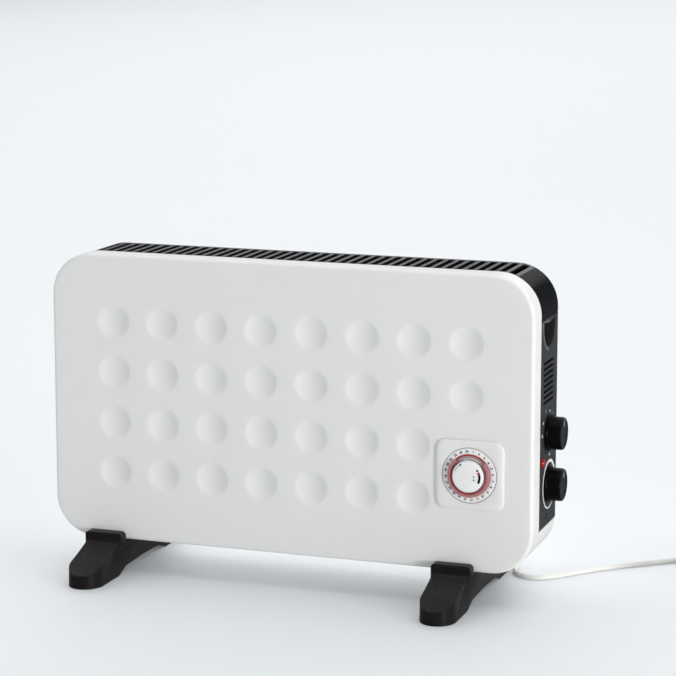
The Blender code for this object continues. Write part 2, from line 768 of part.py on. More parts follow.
def heater(steel, mica, wire, cabinet):
    (x0, x1), (y0, y1), (z0, z1) = HEATER_X, HEATER_Y, HEATER_Z
    bm = bmesh.new()
    box(bm, (x0, y0, z0), (x1, y1, z1))
    frame = finished("heater_frame", bm, steel, (x0, y0, z0), cabinet)

    def inside(bm):
        box(bm, (x0 + SHEET, y0 + SHEET, z0 - THROUGH), (x1 - SHEET, y1 - SHEET, z1 + THROUGH))

    def tabs(bm):
        rear = REAR_Y - STEEL - GAP
        box(bm, (x0 - 0.020, y1 - SHEET / 2, z0 + 0.005), (x0 + 0.004, rear, z1 - 0.005))
        box(bm, (x1 - 0.004, y1 - SHEET / 2, z0 + 0.005), (x1 + 0.020, rear, z1 - 0.005))
        half = CUTOUT_RADIUS + 0.002
        low = (CUTOUT[0] - half, y0 + SHEET / 2, z1 - SHEET / 2)
        box(bm, low, (CUTOUT[0] + half, y1 - SHEET / 2, z1 + SHEET))

    boolean(frame, "DIFFERENCE", inside, "heater_inside")
    boolean(frame, "UNION", tabs, "heater_tabs")

    middle = (z0 + z1) / 2
    for i, x in enumerate(MICA_X):
        bm = bmesh.new()
        box(bm, (x - 0.0005, y0 + SHEET + GAP, z0 + 0.001), (x + 0.0005, y1 - SHEET - GAP, z1 - 0.002))
        card = finished(f"mica_support_{i + 1}", bm, mica, (x, 0, middle), cabinet)

        def coil_holes(bm, x=x):
            for y in COIL_Y:
                disc(bm, "X", (y, middle), COIL_RADIUS + 0.0012, x - THROUGH, x + THROUGH, 16)

        boolean(card, "DIFFERENCE", coil_holes, f"mica_holes_{i + 1}")

    per_turn = 6
    steps = COIL_TURNS * per_turn
    for name, y in zip(("heating_coil_front", "heating_coil_rear"), COIL_Y):
        points = []
        for i in range(steps + 1):
            angle = 2 * math.pi * i / per_turn
            along = 0.010 + (x1 - x0 - 0.020) * i / steps
            points.append((along, COIL_RADIUS * math.cos(angle), COIL_RADIUS * math.sin(angle)))
        tube(name, points, COIL_WIRE, wire, cabinet, (x0, y, middle), 0)

    bm = bmesh.new()
    box(bm, SHIELD_LOW, SHIELD_HIGH)
    finished("heat_shield", bm, steel, SHIELD_LOW, cabinet)


def thermal_cutout(plastic, cabinet):
    x, y = CUTOUT
    seat = HEATER_Z[1] + SHEET + GAP
    top = seat + 0.009
    bm = bmesh.new()
    disc(bm, "Z", CUTOUT, CUTOUT_RADIUS, seat, top, 16)
    cutout = finished("thermal_cutout", bm, plastic, (x, y, seat), cabinet)

    def terminals(bm):
        for middle in (y - 0.004, y + 0.004):
            box(bm, (x - 0.003, middle - 0.0004, top - 0.001), (x + 0.003, middle + 0.0004, top + 0.009))

    boolean(cutout, "UNION", terminals, "cutout_terminals")


def fan(plastic, steel, cabinet):
    base = FAN_Z - 0.012
    top = base + SHEET
    axis = (FAN_X, 0)
    half = FAN_RADIUS + 0.015
    bm = bmesh.new()
    box(bm, (FAN_X - half, FACE_Y + 0.005, base), (FAN_X + half, REAR_Y - STEEL - GAP, top))
    bracket = finished("fan_bracket", bm, steel, (FAN_X, 0, base), cabinet)

    def opening(bm):
        disc(bm, "Z", axis, FAN_RADIUS + 0.003, base - THROUGH, top + THROUGH, 28)

    def bridge(bm):
        reach = FAN_RADIUS + 0.007
        box(bm, (FAN_X - reach, -0.008, base + 0.0001), (FAN_X + reach, 0.008, top - 0.0001))

    def shaft_hole(bm):
        disc(bm, "Z", axis, FAN_SHAFT + 0.0010, base - THROUGH, top + THROUGH, 12)

    boolean(bracket, "DIFFERENCE", opening, "fan_opening")
    boolean(bracket, "UNION", bridge, "fan_bridge")
    boolean(bracket, "DIFFERENCE", shaft_hole, "fan_shaft_hole")

    bm = bmesh.new()
    box(bm, (FAN_X - 0.022, -0.018, FLOOR_GAP + 0.006), (FAN_X + 0.022, 0.018, base - GAP))
    motor = finished("fan_motor", bm, steel, (FAN_X, 0, base), cabinet)

    def bore(bm):
        disc(bm, "Z", axis, FAN_SHAFT + 0.0006, base - 0.014, base + THROUGH, 12)

    boolean(motor, "DIFFERENCE", bore, "motor_bore")

    low, high = FAN_Z - 0.006, FAN_Z + 0.006
    tip = base - 0.012
    profile = (
        (0, tip),
        (FAN_SHAFT, tip),
        (FAN_SHAFT, low),
        (FAN_HUB, low),
        (FAN_HUB, high - 0.002),
        (FAN_HUB - 0.002, high),
        (0, high),
    )
    bm = bmesh.new()
    turned(bm, "Z", axis, profile, 20)
    impeller = finished("fan_impeller", bm, plastic, (FAN_X, 0, FAN_Z), cabinet)

    def blades(bm):
        for i in range(FAN_BLADES):
            made = bmesh.new()
            box(made, (FAN_HUB - 0.0008, -0.008, -0.0007), (FAN_RADIUS, 0.008, 0.0007))
            turn = Matrix.Rotation(2 * math.pi * i / FAN_BLADES, 4, "Z")
            pitch = Matrix.Rotation(FAN_PITCH, 4, "X")
            made.transform(Matrix.Translation((FAN_X, 0, FAN_Z)) @ turn @ pitch)
            mesh = bpy.data.meshes.new("blade")
            made.to_mesh(mesh)
            made.free()
            bm.from_mesh(mesh)
            bpy.data.meshes.remove(mesh)

    boolean(impeller, "UNION", blades, "fan_blades")


def terminal_block(plastic, cabinet):
    x, y = TERMINALS
    base = FLOOR_GAP + STEEL + GAP
    top = base + 0.014
    bm = bmesh.new()
    box(bm, (x - 0.015, y - 0.008, base), (x + 0.015, y + 0.008, top))
    block = finished("terminal_block", bm, plastic, (x, y, base), cabinet)

    def wells(bm):
        for i in (-1, 0, 1):
            disc(bm, "Z", (x + i * 0.009, y), 0.0032, top - 0.007, top + THROUGH, 10)

    boolean(block, "DIFFERENCE", wells, "terminal_wells")


# Cord


def spline(points, step):
    """Points about `step` apart on a smooth curve through the given ones."""
    known = [Vector(p) for p in points]
    known = [2 * known[0] - known[1], *known, 2 * known[-1] - known[-2]]
    fine = []
    for a, b, c, d in zip(known, known[1:], known[2:], known[3:]):
        for i in range(20):
            t = i / 20
            straight = 2 * b + (c - a) * t
            bent = (2 * a - 5 * b + 4 * c - d) * t**2 + (3 * b - a - 3 * c + d) * t**3
            fine.append((straight + bent) / 2)
    fine.append(known[-2])
    total = sum((b - a).length for a, b in zip(fine, fine[1:]))
    count = round(total / step)
    kept = [fine[0]]
    walked = 0.0
    for a, b in zip(fine, fine[1:]):
        walked += (b - a).length
        if walked >= total * len(kept) / count and len(kept) < count:
            kept.append(b)
    return [*kept, fine[-1]]


def tube(name, points, radius, colour_of, parent, at, resolution):
    curve = bpy.data.curves.new(name, "CURVE")
    curve.dimensions = "3D"
    curve.bevel_depth = radius
    curve.bevel_resolution = resolution
    curve.use_fill_caps = True
    run = curve.splines.new("POLY")
    run.points.add(len(points) - 1)
    for place, point in zip(run.points, points):
        place.co = (*point, 1.0)
    curve.materials.append(colour_of)
    made = bpy.data.objects.new(name, curve)
    made.location = at
    made.parent = parent
    bpy.context.scene.collection.objects.link(made)


def cord_gland(plastic, cabinet):
    """The strain relief: a flange each side of the rear wall, and a tapered sleeve outside."""
    inside, outside = REAR_Y - STEEL, REAR_Y
    tip = CORD_EXIT[1] - GAP
    flange = tip - RELIEF_LENGTH
    profile = (
        (0, inside - 0.0050),
        (0.0088, inside - 0.0050),
        (0.0088, inside - GAP),
        (GLAND_NECK, inside - GAP),
        (GLAND_NECK, outside + GAP),
        (0.0085, outside + GAP),
        (0.0085, flange + 0.0030),
        (0.0070, flange + 0.0045),
        (0.0046, tip),
        (0, tip),
    )
    bm = bmesh.new()
    centre = (CORD_EXIT[0] - CABINET_X, CORD_EXIT[2])
    turned(bm, "Y", centre, profile, 20)
    finished("cord_gland", bm, plastic, (centre[0], REAR_Y, centre[1]), cabinet)


def power_cord(rubber, plastic, brass):
    radius = CORD_DIAMETER / 2
    tube("power_cord", spline(CORD_ROUTE, ROUTE_STEP), radius, rubber, None, (0, 0, 0), 2)

    low, high = COIL_FLOOR, COIL_FLOOR + COIL_HEIGHT
    inner = COIL_TURN_RADIUS - 1.5 * CORD_DIAMETER
    outer = COIL_TURN_RADIUS + 1.5 * CORD_DIAMETER
    lip = COIL_LIP
    profile = (
        (inner, low),
        (outer, low),
        (outer, high - lip),
        (outer - lip, high),
        (inner + lip, high),
        (inner, high - lip),
    )
    bm = bmesh.new()
    turned(bm, "Z", COIL_CENTRE, profile, 28, closed=True)
    finished("power_cord_coil", bm, rubber, (*COIL_CENTRE, 0), None)

    reach = (inner - TIE_SLACK, outer + TIE_SLACK)

    def strap(bm, wall, half, floor):
        low = (reach[0] - wall, -half, floor)
        box(bm, low, (reach[1] + wall, half, high + TIE_SLACK + wall))
        turn = Matrix.Rotation(math.radians(TIE_ANGLE), 4, "Z")
        bmesh.ops.transform(bm, matrix=Matrix.Translation((*COIL_CENTRE, 0)) @ turn, verts=bm.verts)

    bm = bmesh.new()
    strap(bm, TIE_WALL, 0.0025, TIE_FLOOR)
    tie = finished("cord_tie", bm, plastic, (*COIL_CENTRE, 0), None)
    boolean(tie, "DIFFERENCE", lambda bm: strap(bm, 0.0, THROUGH, TIE_FLOOR + TIE_WALL), "tie_opening")

    tail = [(PLUG_X, COIL_CENTRE[1] + back, z) for back, z in TAIL_START]
    tail += [(PLUG_X, PLUG_Y + 0.0060, PLUG_Z), (PLUG_X, PLUG_Y + GAP, PLUG_Z)]
    tube("power_cord_tail", tail, radius, rubber, None, (0, 0, 0), 2)

    bm = bmesh.new()
    turned(bm, "Y", (PLUG_X, PLUG_Z), [(r, PLUG_Y + along) for r, along in PLUG_PROFILE], 18)
    finished("plug_body", bm, rubber, (PLUG_X, PLUG_Y, PLUG_Z), None)
    face = PLUG_Y + PLUG_PROFILE[-1][1] - GAP
    for i, side in enumerate((-1, 1)):
        centre = (PLUG_X + side * PIN_SPREAD, PLUG_Z)
        wide, tip = PIN_RADIUS, face - PIN_LENGTH
        profile = ((0, face), (wide, face), (wide, tip + 0.002), (wide - 0.001, tip), (0, tip))
        bm = bmesh.new()
        turned(bm, "Y", centre, profile, 12)
        finished(f"plug_pin_{i + 1}", bm, brass, (centre[0], face, PLUG_Z), None)


def main():
    for old in list(bpy.data.objects):
        bpy.data.objects.remove(old, do_unlink=True)

    white_steel = material("white_steel", (0.80, 0.80, 0.78), 0.35)
    black_plastic = material("black_plastic", (0.025, 0.025, 0.027), 0.4)
    foot_plastic = material("foot_plastic", (0.030, 0.028, 0.027), 0.45)
    white_plastic = material("white_plastic", (0.80, 0.80, 0.78), 0.4)
    red_plastic = material("red_plastic", (0.55, 0.08, 0.09), 0.35)
    red_lens = material("red_lens", (0.55, 0.02, 0.02), 0.15)
    plated_steel = material("plated_steel", (0.62, 0.62, 0.62), 0.35, 1.0)
    grey_works = material("grey_works", (0.18, 0.18, 0.19), 0.5)
    mica = material("mica", (0.62, 0.55, 0.42), 0.6)
    heating_wire = material("heating_wire", (0.35, 0.32, 0.30), 0.4, 1.0)
    cord_white = material("cord_white", (0.78, 0.77, 0.73), 0.45)
    brass = material("brass", (0.72, 0.68, 0.60), 0.3, 1.0)

    cabinet = bpy.data.objects.new("cabinet", None)
    cabinet.location = (CABINET_X, 0, 0)
    bpy.context.scene.collection.objects.link(cabinet)

    front_panel(white_steel, cabinet)
    rear_shell(white_steel, cabinet)
    top_grille(black_plastic, cabinet)
    side_screw_hole = (SIDE_SCREW, HEAD_RADII["side"] + 0.0004)
    control_holes = [((KNOB_Y, z), SHAFT_RADIUS + 0.0008) for z in (SELECTOR_Z, THERMOSTAT_Z)]
    control_holes += [(LAMP, LAMP_BODY + 0.0004), side_screw_hole]
    side_panel("control_side_panel", 1, black_plastic, cabinet, control_holes)
    side_panel("plain_side_panel", -1, black_plastic, cabinet, [side_screw_hole])
    for side in FOOT_X:
        for end in FOOT_SCREW_Y:
            foot_half(side, end, foot_plastic, cabinet)
    screws(plated_steel, cabinet)

    for name, z in (("selector", SELECTOR_Z), ("thermostat", THERMOSTAT_Z)):
        knob(name + "_knob", z, black_plastic, cabinet)
        shaft(name + "_shaft", z, plated_steel, cabinet)
    control_body("selector_switch", SELECTOR_Z, (0.026, 0.032, 0.032), grey_works, cabinet)
    control_body("thermostat_body", THERMOSTAT_Z, (0.024, 0.036, 0.034), mica, cabinet)
    pilot_lamp(red_lens, cabinet)

    timer_bezel(white_plastic, cabinet)
    timer_dial(white_plastic, cabinet)
    low = TAPPET_TOP - TAPPET_TRAVEL
    tappets("timer_tappets_pressed", PRESSED_FROM, PRESSED_TO, low, 8, red_plastic, cabinet)
    raised_from, raised_to = PRESSED_TO + 1, PRESSED_FROM + 359
    tappets("timer_tappets_raised", raised_from, raised_to, TAPPET_TOP, 22, red_plastic, cabinet)
    timer_centre_cap(white_plastic, cabinet)
    timer_override_lever(red_plastic, cabinet)
    timer_works(white_plastic, plated_steel, cabinet)

    heater(plated_steel, mica, heating_wire, cabinet)
    thermal_cutout(grey_works, cabinet)
    fan(black_plastic, plated_steel, cabinet)
    terminal_block(white_plastic, cabinet)

    cord_gland(cord_white, cabinet)
    power_cord(cord_white, black_plastic, brass)


main()
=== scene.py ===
"""The looks of the fan convector heater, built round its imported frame, in metres."""

import json
import math

import bmesh
import bpy
from mathutils import Matrix, Vector

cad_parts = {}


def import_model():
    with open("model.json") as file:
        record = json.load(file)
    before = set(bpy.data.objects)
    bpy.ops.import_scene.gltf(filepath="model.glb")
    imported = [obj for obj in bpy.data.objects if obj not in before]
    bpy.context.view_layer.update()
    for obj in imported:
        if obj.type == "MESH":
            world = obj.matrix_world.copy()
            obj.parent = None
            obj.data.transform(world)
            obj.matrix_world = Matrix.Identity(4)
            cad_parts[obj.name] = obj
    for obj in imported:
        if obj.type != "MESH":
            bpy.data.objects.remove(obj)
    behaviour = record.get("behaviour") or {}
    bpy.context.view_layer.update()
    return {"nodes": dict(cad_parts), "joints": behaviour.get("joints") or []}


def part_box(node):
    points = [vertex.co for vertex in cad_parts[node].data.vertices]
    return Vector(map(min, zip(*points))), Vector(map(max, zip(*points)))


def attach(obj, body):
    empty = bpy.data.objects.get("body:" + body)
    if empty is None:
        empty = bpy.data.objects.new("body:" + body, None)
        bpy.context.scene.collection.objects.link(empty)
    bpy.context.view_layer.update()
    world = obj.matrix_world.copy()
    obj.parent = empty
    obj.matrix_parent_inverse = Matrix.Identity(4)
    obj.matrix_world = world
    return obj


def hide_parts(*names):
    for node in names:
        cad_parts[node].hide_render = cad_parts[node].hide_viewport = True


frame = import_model()

JOINTS = {joint["name"]: joint for joint in frame["joints"]}

# Casing
PANEL_LOW, PANEL_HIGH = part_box("front_panel")
SHELL_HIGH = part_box("rear_shell")[1]
GRILLE_LOW, GRILLE_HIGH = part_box("top_grille")
MIDDLE_X = (PANEL_LOW.x + PANEL_HIGH.x) / 2
FACE_Y = PANEL_LOW.y
FLANGE_Y = PANEL_HIGH.y
BAND_Y = GRILLE_LOW.y
REAR_Y = SHELL_HIGH.y
CORNER_RADIUS = 0.050
SHEET_EDGE = 0.0045  # the radius of the pressed edges
STEEL = 0.0008
PLASTIC = 0.0025
SEAM_TOP = GRILLE_LOW.z
SEAM_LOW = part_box("control_side_panel")[0].z
BAND_OUTER = GRILLE_HIGH.x - MIDDLE_X
BAND_INSET = (PANEL_HIGH.x - MIDDLE_X) - BAND_OUTER
BAND_RADIUS = CORNER_RADIUS - BAND_INSET
BAND_STRAIGHT = BAND_OUTER - BAND_RADIUS
GAP = 0.0003

# Rear shell
REAR_MARGIN = 0.028  # from the shell's outline to its sheet of cells
REAR_COLUMNS = 18
REAR_PITCH = 0.020
REAR_FIRST = MIDDLE_X - 0.22 + 0.0025
REAR_ROWS = (0.090, 0.126, 0.130, 0.166, 0.294)  # the heights between the rows of cells
REAR_SLOT_ROWS = (1, 3)
REAR_SLOT = (0.0050, 0.028)
BASE_SLOTS = 16
BASE_PITCH = 0.022

# Dimples
DIMPLE_COLUMNS = 8
DIMPLE_ROWS = 4
DIMPLE_FIRST = (MIDDLE_X - 0.2194, 0.3095)
DIMPLE_PITCH = (0.0628, 0.0613)
DIMPLE_RADIUS = 0.020
DIMPLE_DEPTH = 0.0040
DIMPLE_BLEND = 0.0008
DIMPLE_FADE = (0.0265, 0.003)  # the radius where the hollow has faded out, and the fade's width
CELL_STEPS = 12
TIMER_COLUMN_EXTRA = 0.0066  # the last column is wider, to hold the timer
DIMPLE_RINGS = (27, 25, 23.5, 22.4, 21.6, 21, 20.4, 19.8, 19.2, 18.4, 17.2, 15.5, 13, 10.5, 8, 5.5, 3, 1)

# Grille
GRILLE_SLOTS = 41
GRILLE_PITCH = 0.0130
GRILLE_OFFSET = 0.0030
GRILLE_SLOT = 0.0076
GRILLE_MARGIN = 0.0070
GRILLE_CORNER = 0.0024

# Side panels
SIDE_Y = 0.015
VENTS = 8
VENT_FIRST_Z = 0.235
VENT_PITCH = 0.0066
VENT_SIZE = (0.046, 0.0034)
RECESS_TOP = 0.3305
RECESS_SIZE = (0.052, 0.0315)
RECESS_DIP = 0.003
RECESS_DEPTH = 0.028
RECESS_COLUMN = (-0.0195, 0.0495)  # the cells with the holes, vents and hand recess lie between these
SIDE_SCREW = (0.013, 0.098)
SIDE_ROWS = (0.1085, 0.114, 0.154, 0.1755, 0.2155)  # the heights between the rows of cells, to the vents
SIDE_SCREW_ROW, THERMOSTAT_ROW, SELECTOR_ROW = 0, 2, 4
FIRST_VENT_ROW = len(SIDE_ROWS) + 1
RECESS_ROW = FIRST_VENT_ROW + VENTS + 1
RECESS_CELL_LOW = 0.2900

# Feet
FOOT_WIDTH = 0.0428
FOOT_TOE = 0.024

# Controls
SELECTOR = Vector(JOINTS["selector_turn"]["pos_m"])
THERMOSTAT = Vector(JOINTS["thermostat_turn"]["pos_m"])
KNOB_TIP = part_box("selector_knob")[1].x
SIDE_X = MIDDLE_X + BAND_OUTER
PLATE_LAYER = (SIDE_X + 0.0001, SIDE_X + 0.0003)  # the back and the front of the plates behind the knobs
TIMER = Vector(JOINTS["timer_turn"]["pos_m"])
DIAL_RADIUS = 0.032
TAPPET_RADII = (0.0203, 0.0249)
TAPPET_STEP = 3.75  # degrees in a quarter of an hour
HOUR_ZERO = -6  # degrees
PRESSED = (-42.0, 50.0)
CAP_RADIUS = 0.0185
OVERRIDE_RADIUS = 0.0143
OVERRIDE_SLOT = (64, 117)
TIMER_OPENING = (0.0285, 0.0275)  # the rings round the panel's hole, from the outside in
PRINT_LAYER = (0.00002, 0.00006)  # the back and the front of the timer's print, before the face

# Cord, the same route as the CAD model's
CORD_DIAMETER = 0.0063
CORD_EXIT = (0.2263, 0.0856, 0.066)
CORD_ROUTE = (
    CORD_EXIT,
    (0.2264, 0.0990, 0.0652), (0.2267, 0.1130, 0.0615), (0.2272, 0.1245, 0.0535),
    (0.2278, 0.1312, 0.0415), (0.2284, 0.1318, 0.0280), (0.2290, 0.1265, 0.0155),
    (0.2294, 0.1170, 0.0070), (0.2296, 0.1085, 0.0037), (0.2304, 0.0990, 0.0032),
    (0.2358, 0.0886, 0.0032), (0.2451, 0.0815, 0.0032), (0.2565, 0.0790, 0.0032),
    (0.2671, 0.0811, 0.0032), (0.2755, 0.0869, 0.0032), (0.2880, 0.1003, 0.0032),
    (0.3251, 0.1425, 0.0032), (0.3646, 0.1780, 0.0032), (0.4057, 0.2105, 0.0032),
    (0.4177, 0.2207, 0.0032),
)
COIL_CENTRE = (0.4637, 0.2045)
COIL_RADIUS = 0.0360
COIL_START = 131  # degrees
COIL_TURNS = 4.36
COIL_STEPS = 44  # to a turn
CORD_FLOOR = 0.0032  # the height of the cord's middle where it lies on the floor
CORD_STEP = 0.0025
PLUG_LOW, PLUG_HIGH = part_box("plug_body")
PLUG_X = (PLUG_LOW.x + PLUG_HIGH.x) / 2
PLUG_Z = (PLUG_LOW.z + PLUG_HIGH.z) / 2

# Camera
CAMERA_PLACE = (0.94843, -2.59632, 0.80225)
CAMERA_TILT = -0.1565  # from level, in radians
CAMERA_TURN = 0.33751
CAMERA_LENS = 125.85
CAMERA_SHIFT = -0.0888

# Light
WORLD_BY_HEIGHT = (1.6, 0.25)
WORLD_FRONT_TO_BACK = (0.72, 1.38)
WORLD_IN_GLOSS = 0.12
WORLD_COLOUR = (0.93, 0.96, 1.0)
FLOOR_COLOUR = (0.84, 0.865, 0.885)
FLOOR_RINGS = (0.5, 1, 2, 4, 8, 16, 40)

# ---------------- camera, stage and light


def placed(name, data):
    """A new object in the scene."""
    made = bpy.data.objects.new(name, data)
    bpy.context.scene.collection.objects.link(made)
    return made


def camera():
    data = bpy.data.cameras.new("camera")
    data.sensor_width = 36
    data.lens = CAMERA_LENS
    data.shift_y = CAMERA_SHIFT
    data.clip_end = 50
    made = placed("camera", data)
    made.location = CAMERA_PLACE
    made.rotation_euler = (math.radians(90) + CAMERA_TILT, 0, CAMERA_TURN)
    bpy.context.scene.camera = made


def area_light(name, size, power, place, target, colour=(1, 1, 1)):
    data = bpy.data.lights.new(name, "AREA")
    data.shape = "RECTANGLE"
    data.size, data.size_y = size
    data.energy = power
    data.color = colour
    made = placed(name, data)
    made.location = place
    made.rotation_euler = (Vector(target) - Vector(place)).to_track_quat("-Z", "Y").to_euler()
    made.visible_camera = False
    return data


def stage():
    bm = bmesh.new()
    rings = [[(*point, -0.0001) for point in circle((0, 0), radius, 96)] for radius in FLOOR_RINGS]
    skin(bm, rings, caps=(True, False))
    mesh = bpy.data.meshes.new("studio_floor")
    bm.to_mesh(mesh)
    bm.free()
    made = placed("studio_floor", mesh)
    mesh.materials.append(plain("studio_floor", FLOOR_COLOUR, 0.55))

    made.visible_glossy = False
    world()
    bpy.context.scene.view_settings.view_transform = "Standard"
    area_light("ceiling", (16, 30), 1500, (-3, 13, 6), (-3, 13, 0))
    lift = area_light("shadow_lift", (3, 3), 30, (0, -0.3, 4), (0, -0.3, 0))
    lift.use_shadow = False
    area_light("right_low", (2.2, 0.8), 265, (6.1, -3.3, 0.45), (0, 0, 0.2), (1.0, 0.985, 0.96))


def map_range(tree, source, limits):
    """The source mapped from the first two limits to the last two."""
    node = tree.nodes.new("ShaderNodeMapRange")
    for socket, value in zip(("From Min", "From Max", "To Min", "To Max"), limits):
        node.inputs[socket].default_value = value
    tree.links.new(source, node.inputs["Value"])
    return node.outputs["Result"]


def world():
    """A dome that is brightest low down and towards the back, and dim in reflections."""
    made = bpy.data.worlds.new("studio_world")
    made.use_nodes = True
    tree = made.node_tree
    background = tree.nodes["Background"]
    background.inputs["Color"].default_value = (*WORLD_COLOUR, 1)
    direction = tree.nodes.new("ShaderNodeSeparateXYZ")
    tree.links.new(tree.nodes.new("ShaderNodeTexCoord").outputs["Generated"], direction.inputs["Vector"])
    path = tree.nodes.new("ShaderNodeLightPath")
    strength = None
    for source, (low, high), (start, end) in (
        (direction.outputs["Z"], (0.0, 0.5), WORLD_BY_HEIGHT),
        (direction.outputs["Y"], (-1.0, 1.0), WORLD_FRONT_TO_BACK),
        (path.outputs["Is Glossy Ray"], (0.0, 1.0), (1.0, WORLD_IN_GLOSS)),
    ):
        factor = map_range(tree, source, (low, high, start, end))
        if strength is not None:
            product = tree.nodes.new("ShaderNodeMath")
            product.operation = "MULTIPLY"
            tree.links.new(strength, product.inputs[0])
            tree.links.new(factor, product.inputs[1])
            factor = product.outputs["Value"]
        strength = factor
    tree.links.new(strength, background.inputs["Strength"])
    bpy.context.scene.world = made


# ---------------- materials


def plain(name, colour, roughness, metallic=0.0):
    made = bpy.data.materials.new(name)
    made.use_nodes = True
    shader = made.node_tree.nodes["Principled BSDF"]
    shader.inputs["Base Color"].default_value = (*colour, 1)
    shader.inputs["Roughness"].default_value = roughness
    shader.inputs["Metallic"].default_value = metallic
    return made


class Look:
    """A material of plain shader values with procedural noise on colour, roughness and height."""

    def __init__(self, name, colour, roughness, metallic=0.0, **values):
        self.material = plain(name, colour, roughness, metallic)
        self.tree = self.material.node_tree
        self.shader = self.tree.nodes["Principled BSDF"]
        self.colour = colour
        self.roughness = roughness
        self.height = None
        for socket, value in values.items():
            self.shader.inputs[socket.replace("_", " ")].default_value = value
        self.coordinates = self.tree.nodes.new("ShaderNodeTexCoord").outputs["Object"]

    def noise(self, scale, detail=3.0, stretch=None):
        node = self.tree.nodes.new("ShaderNodeTexNoise")
        node.inputs["Scale"].default_value = scale
        node.inputs["Detail"].default_value = detail
        source = self.coordinates
        if stretch is not None:
            mapping = self.tree.nodes.new("ShaderNodeMapping")
            mapping.inputs["Scale"].default_value = stretch
            self.tree.links.new(source, mapping.inputs["Vector"])
            source = mapping.outputs["Vector"]
        self.tree.links.new(source, node.inputs["Vector"])
        return node.outputs["Fac"]

    def mottle(self, scale, amount, tint=(1, 1, 1)):
        """The colour wanders by `amount` towards a tint of itself."""
        mix = self.tree.nodes.new("ShaderNodeMix")
        mix.data_type = "RGBA"
        mix.inputs["A"].default_value = (*self.colour, 1)
        mix.inputs["B"].default_value = (*[c * (1 - amount) * t for c, t in zip(self.colour, tint)], 1)
        share = map_range(self.tree, self.noise(scale), (0.3, 0.7, 0, 1))
        self.tree.links.new(share, mix.inputs["Factor"])
        self.tree.links.new(mix.outputs["Result"], self.shader.inputs["Base Color"])
        return self

    def rough(self, scale, amount):
        low, high = self.roughness - amount, self.roughness + amount
        result = map_range(self.tree, self.noise(scale), (0.3, 0.7, low, high))
        self.tree.links.new(result, self.shader.inputs["Roughness"])
        return self

    def bump(self, scale, distance, strength=1.0, stretch=None):
        node = self.tree.nodes.new("ShaderNodeBump")
        node.inputs["Distance"].default_value = distance
        node.inputs["Strength"].default_value = strength
        self.tree.links.new(self.noise(scale, 2.0, stretch), node.inputs["Height"])
        if self.height is not None:
            self.tree.links.new(self.height, node.inputs["Normal"])
        self.height = node.outputs["Normal"]
        self.tree.links.new(self.height, self.shader.inputs["Normal"])
        return self


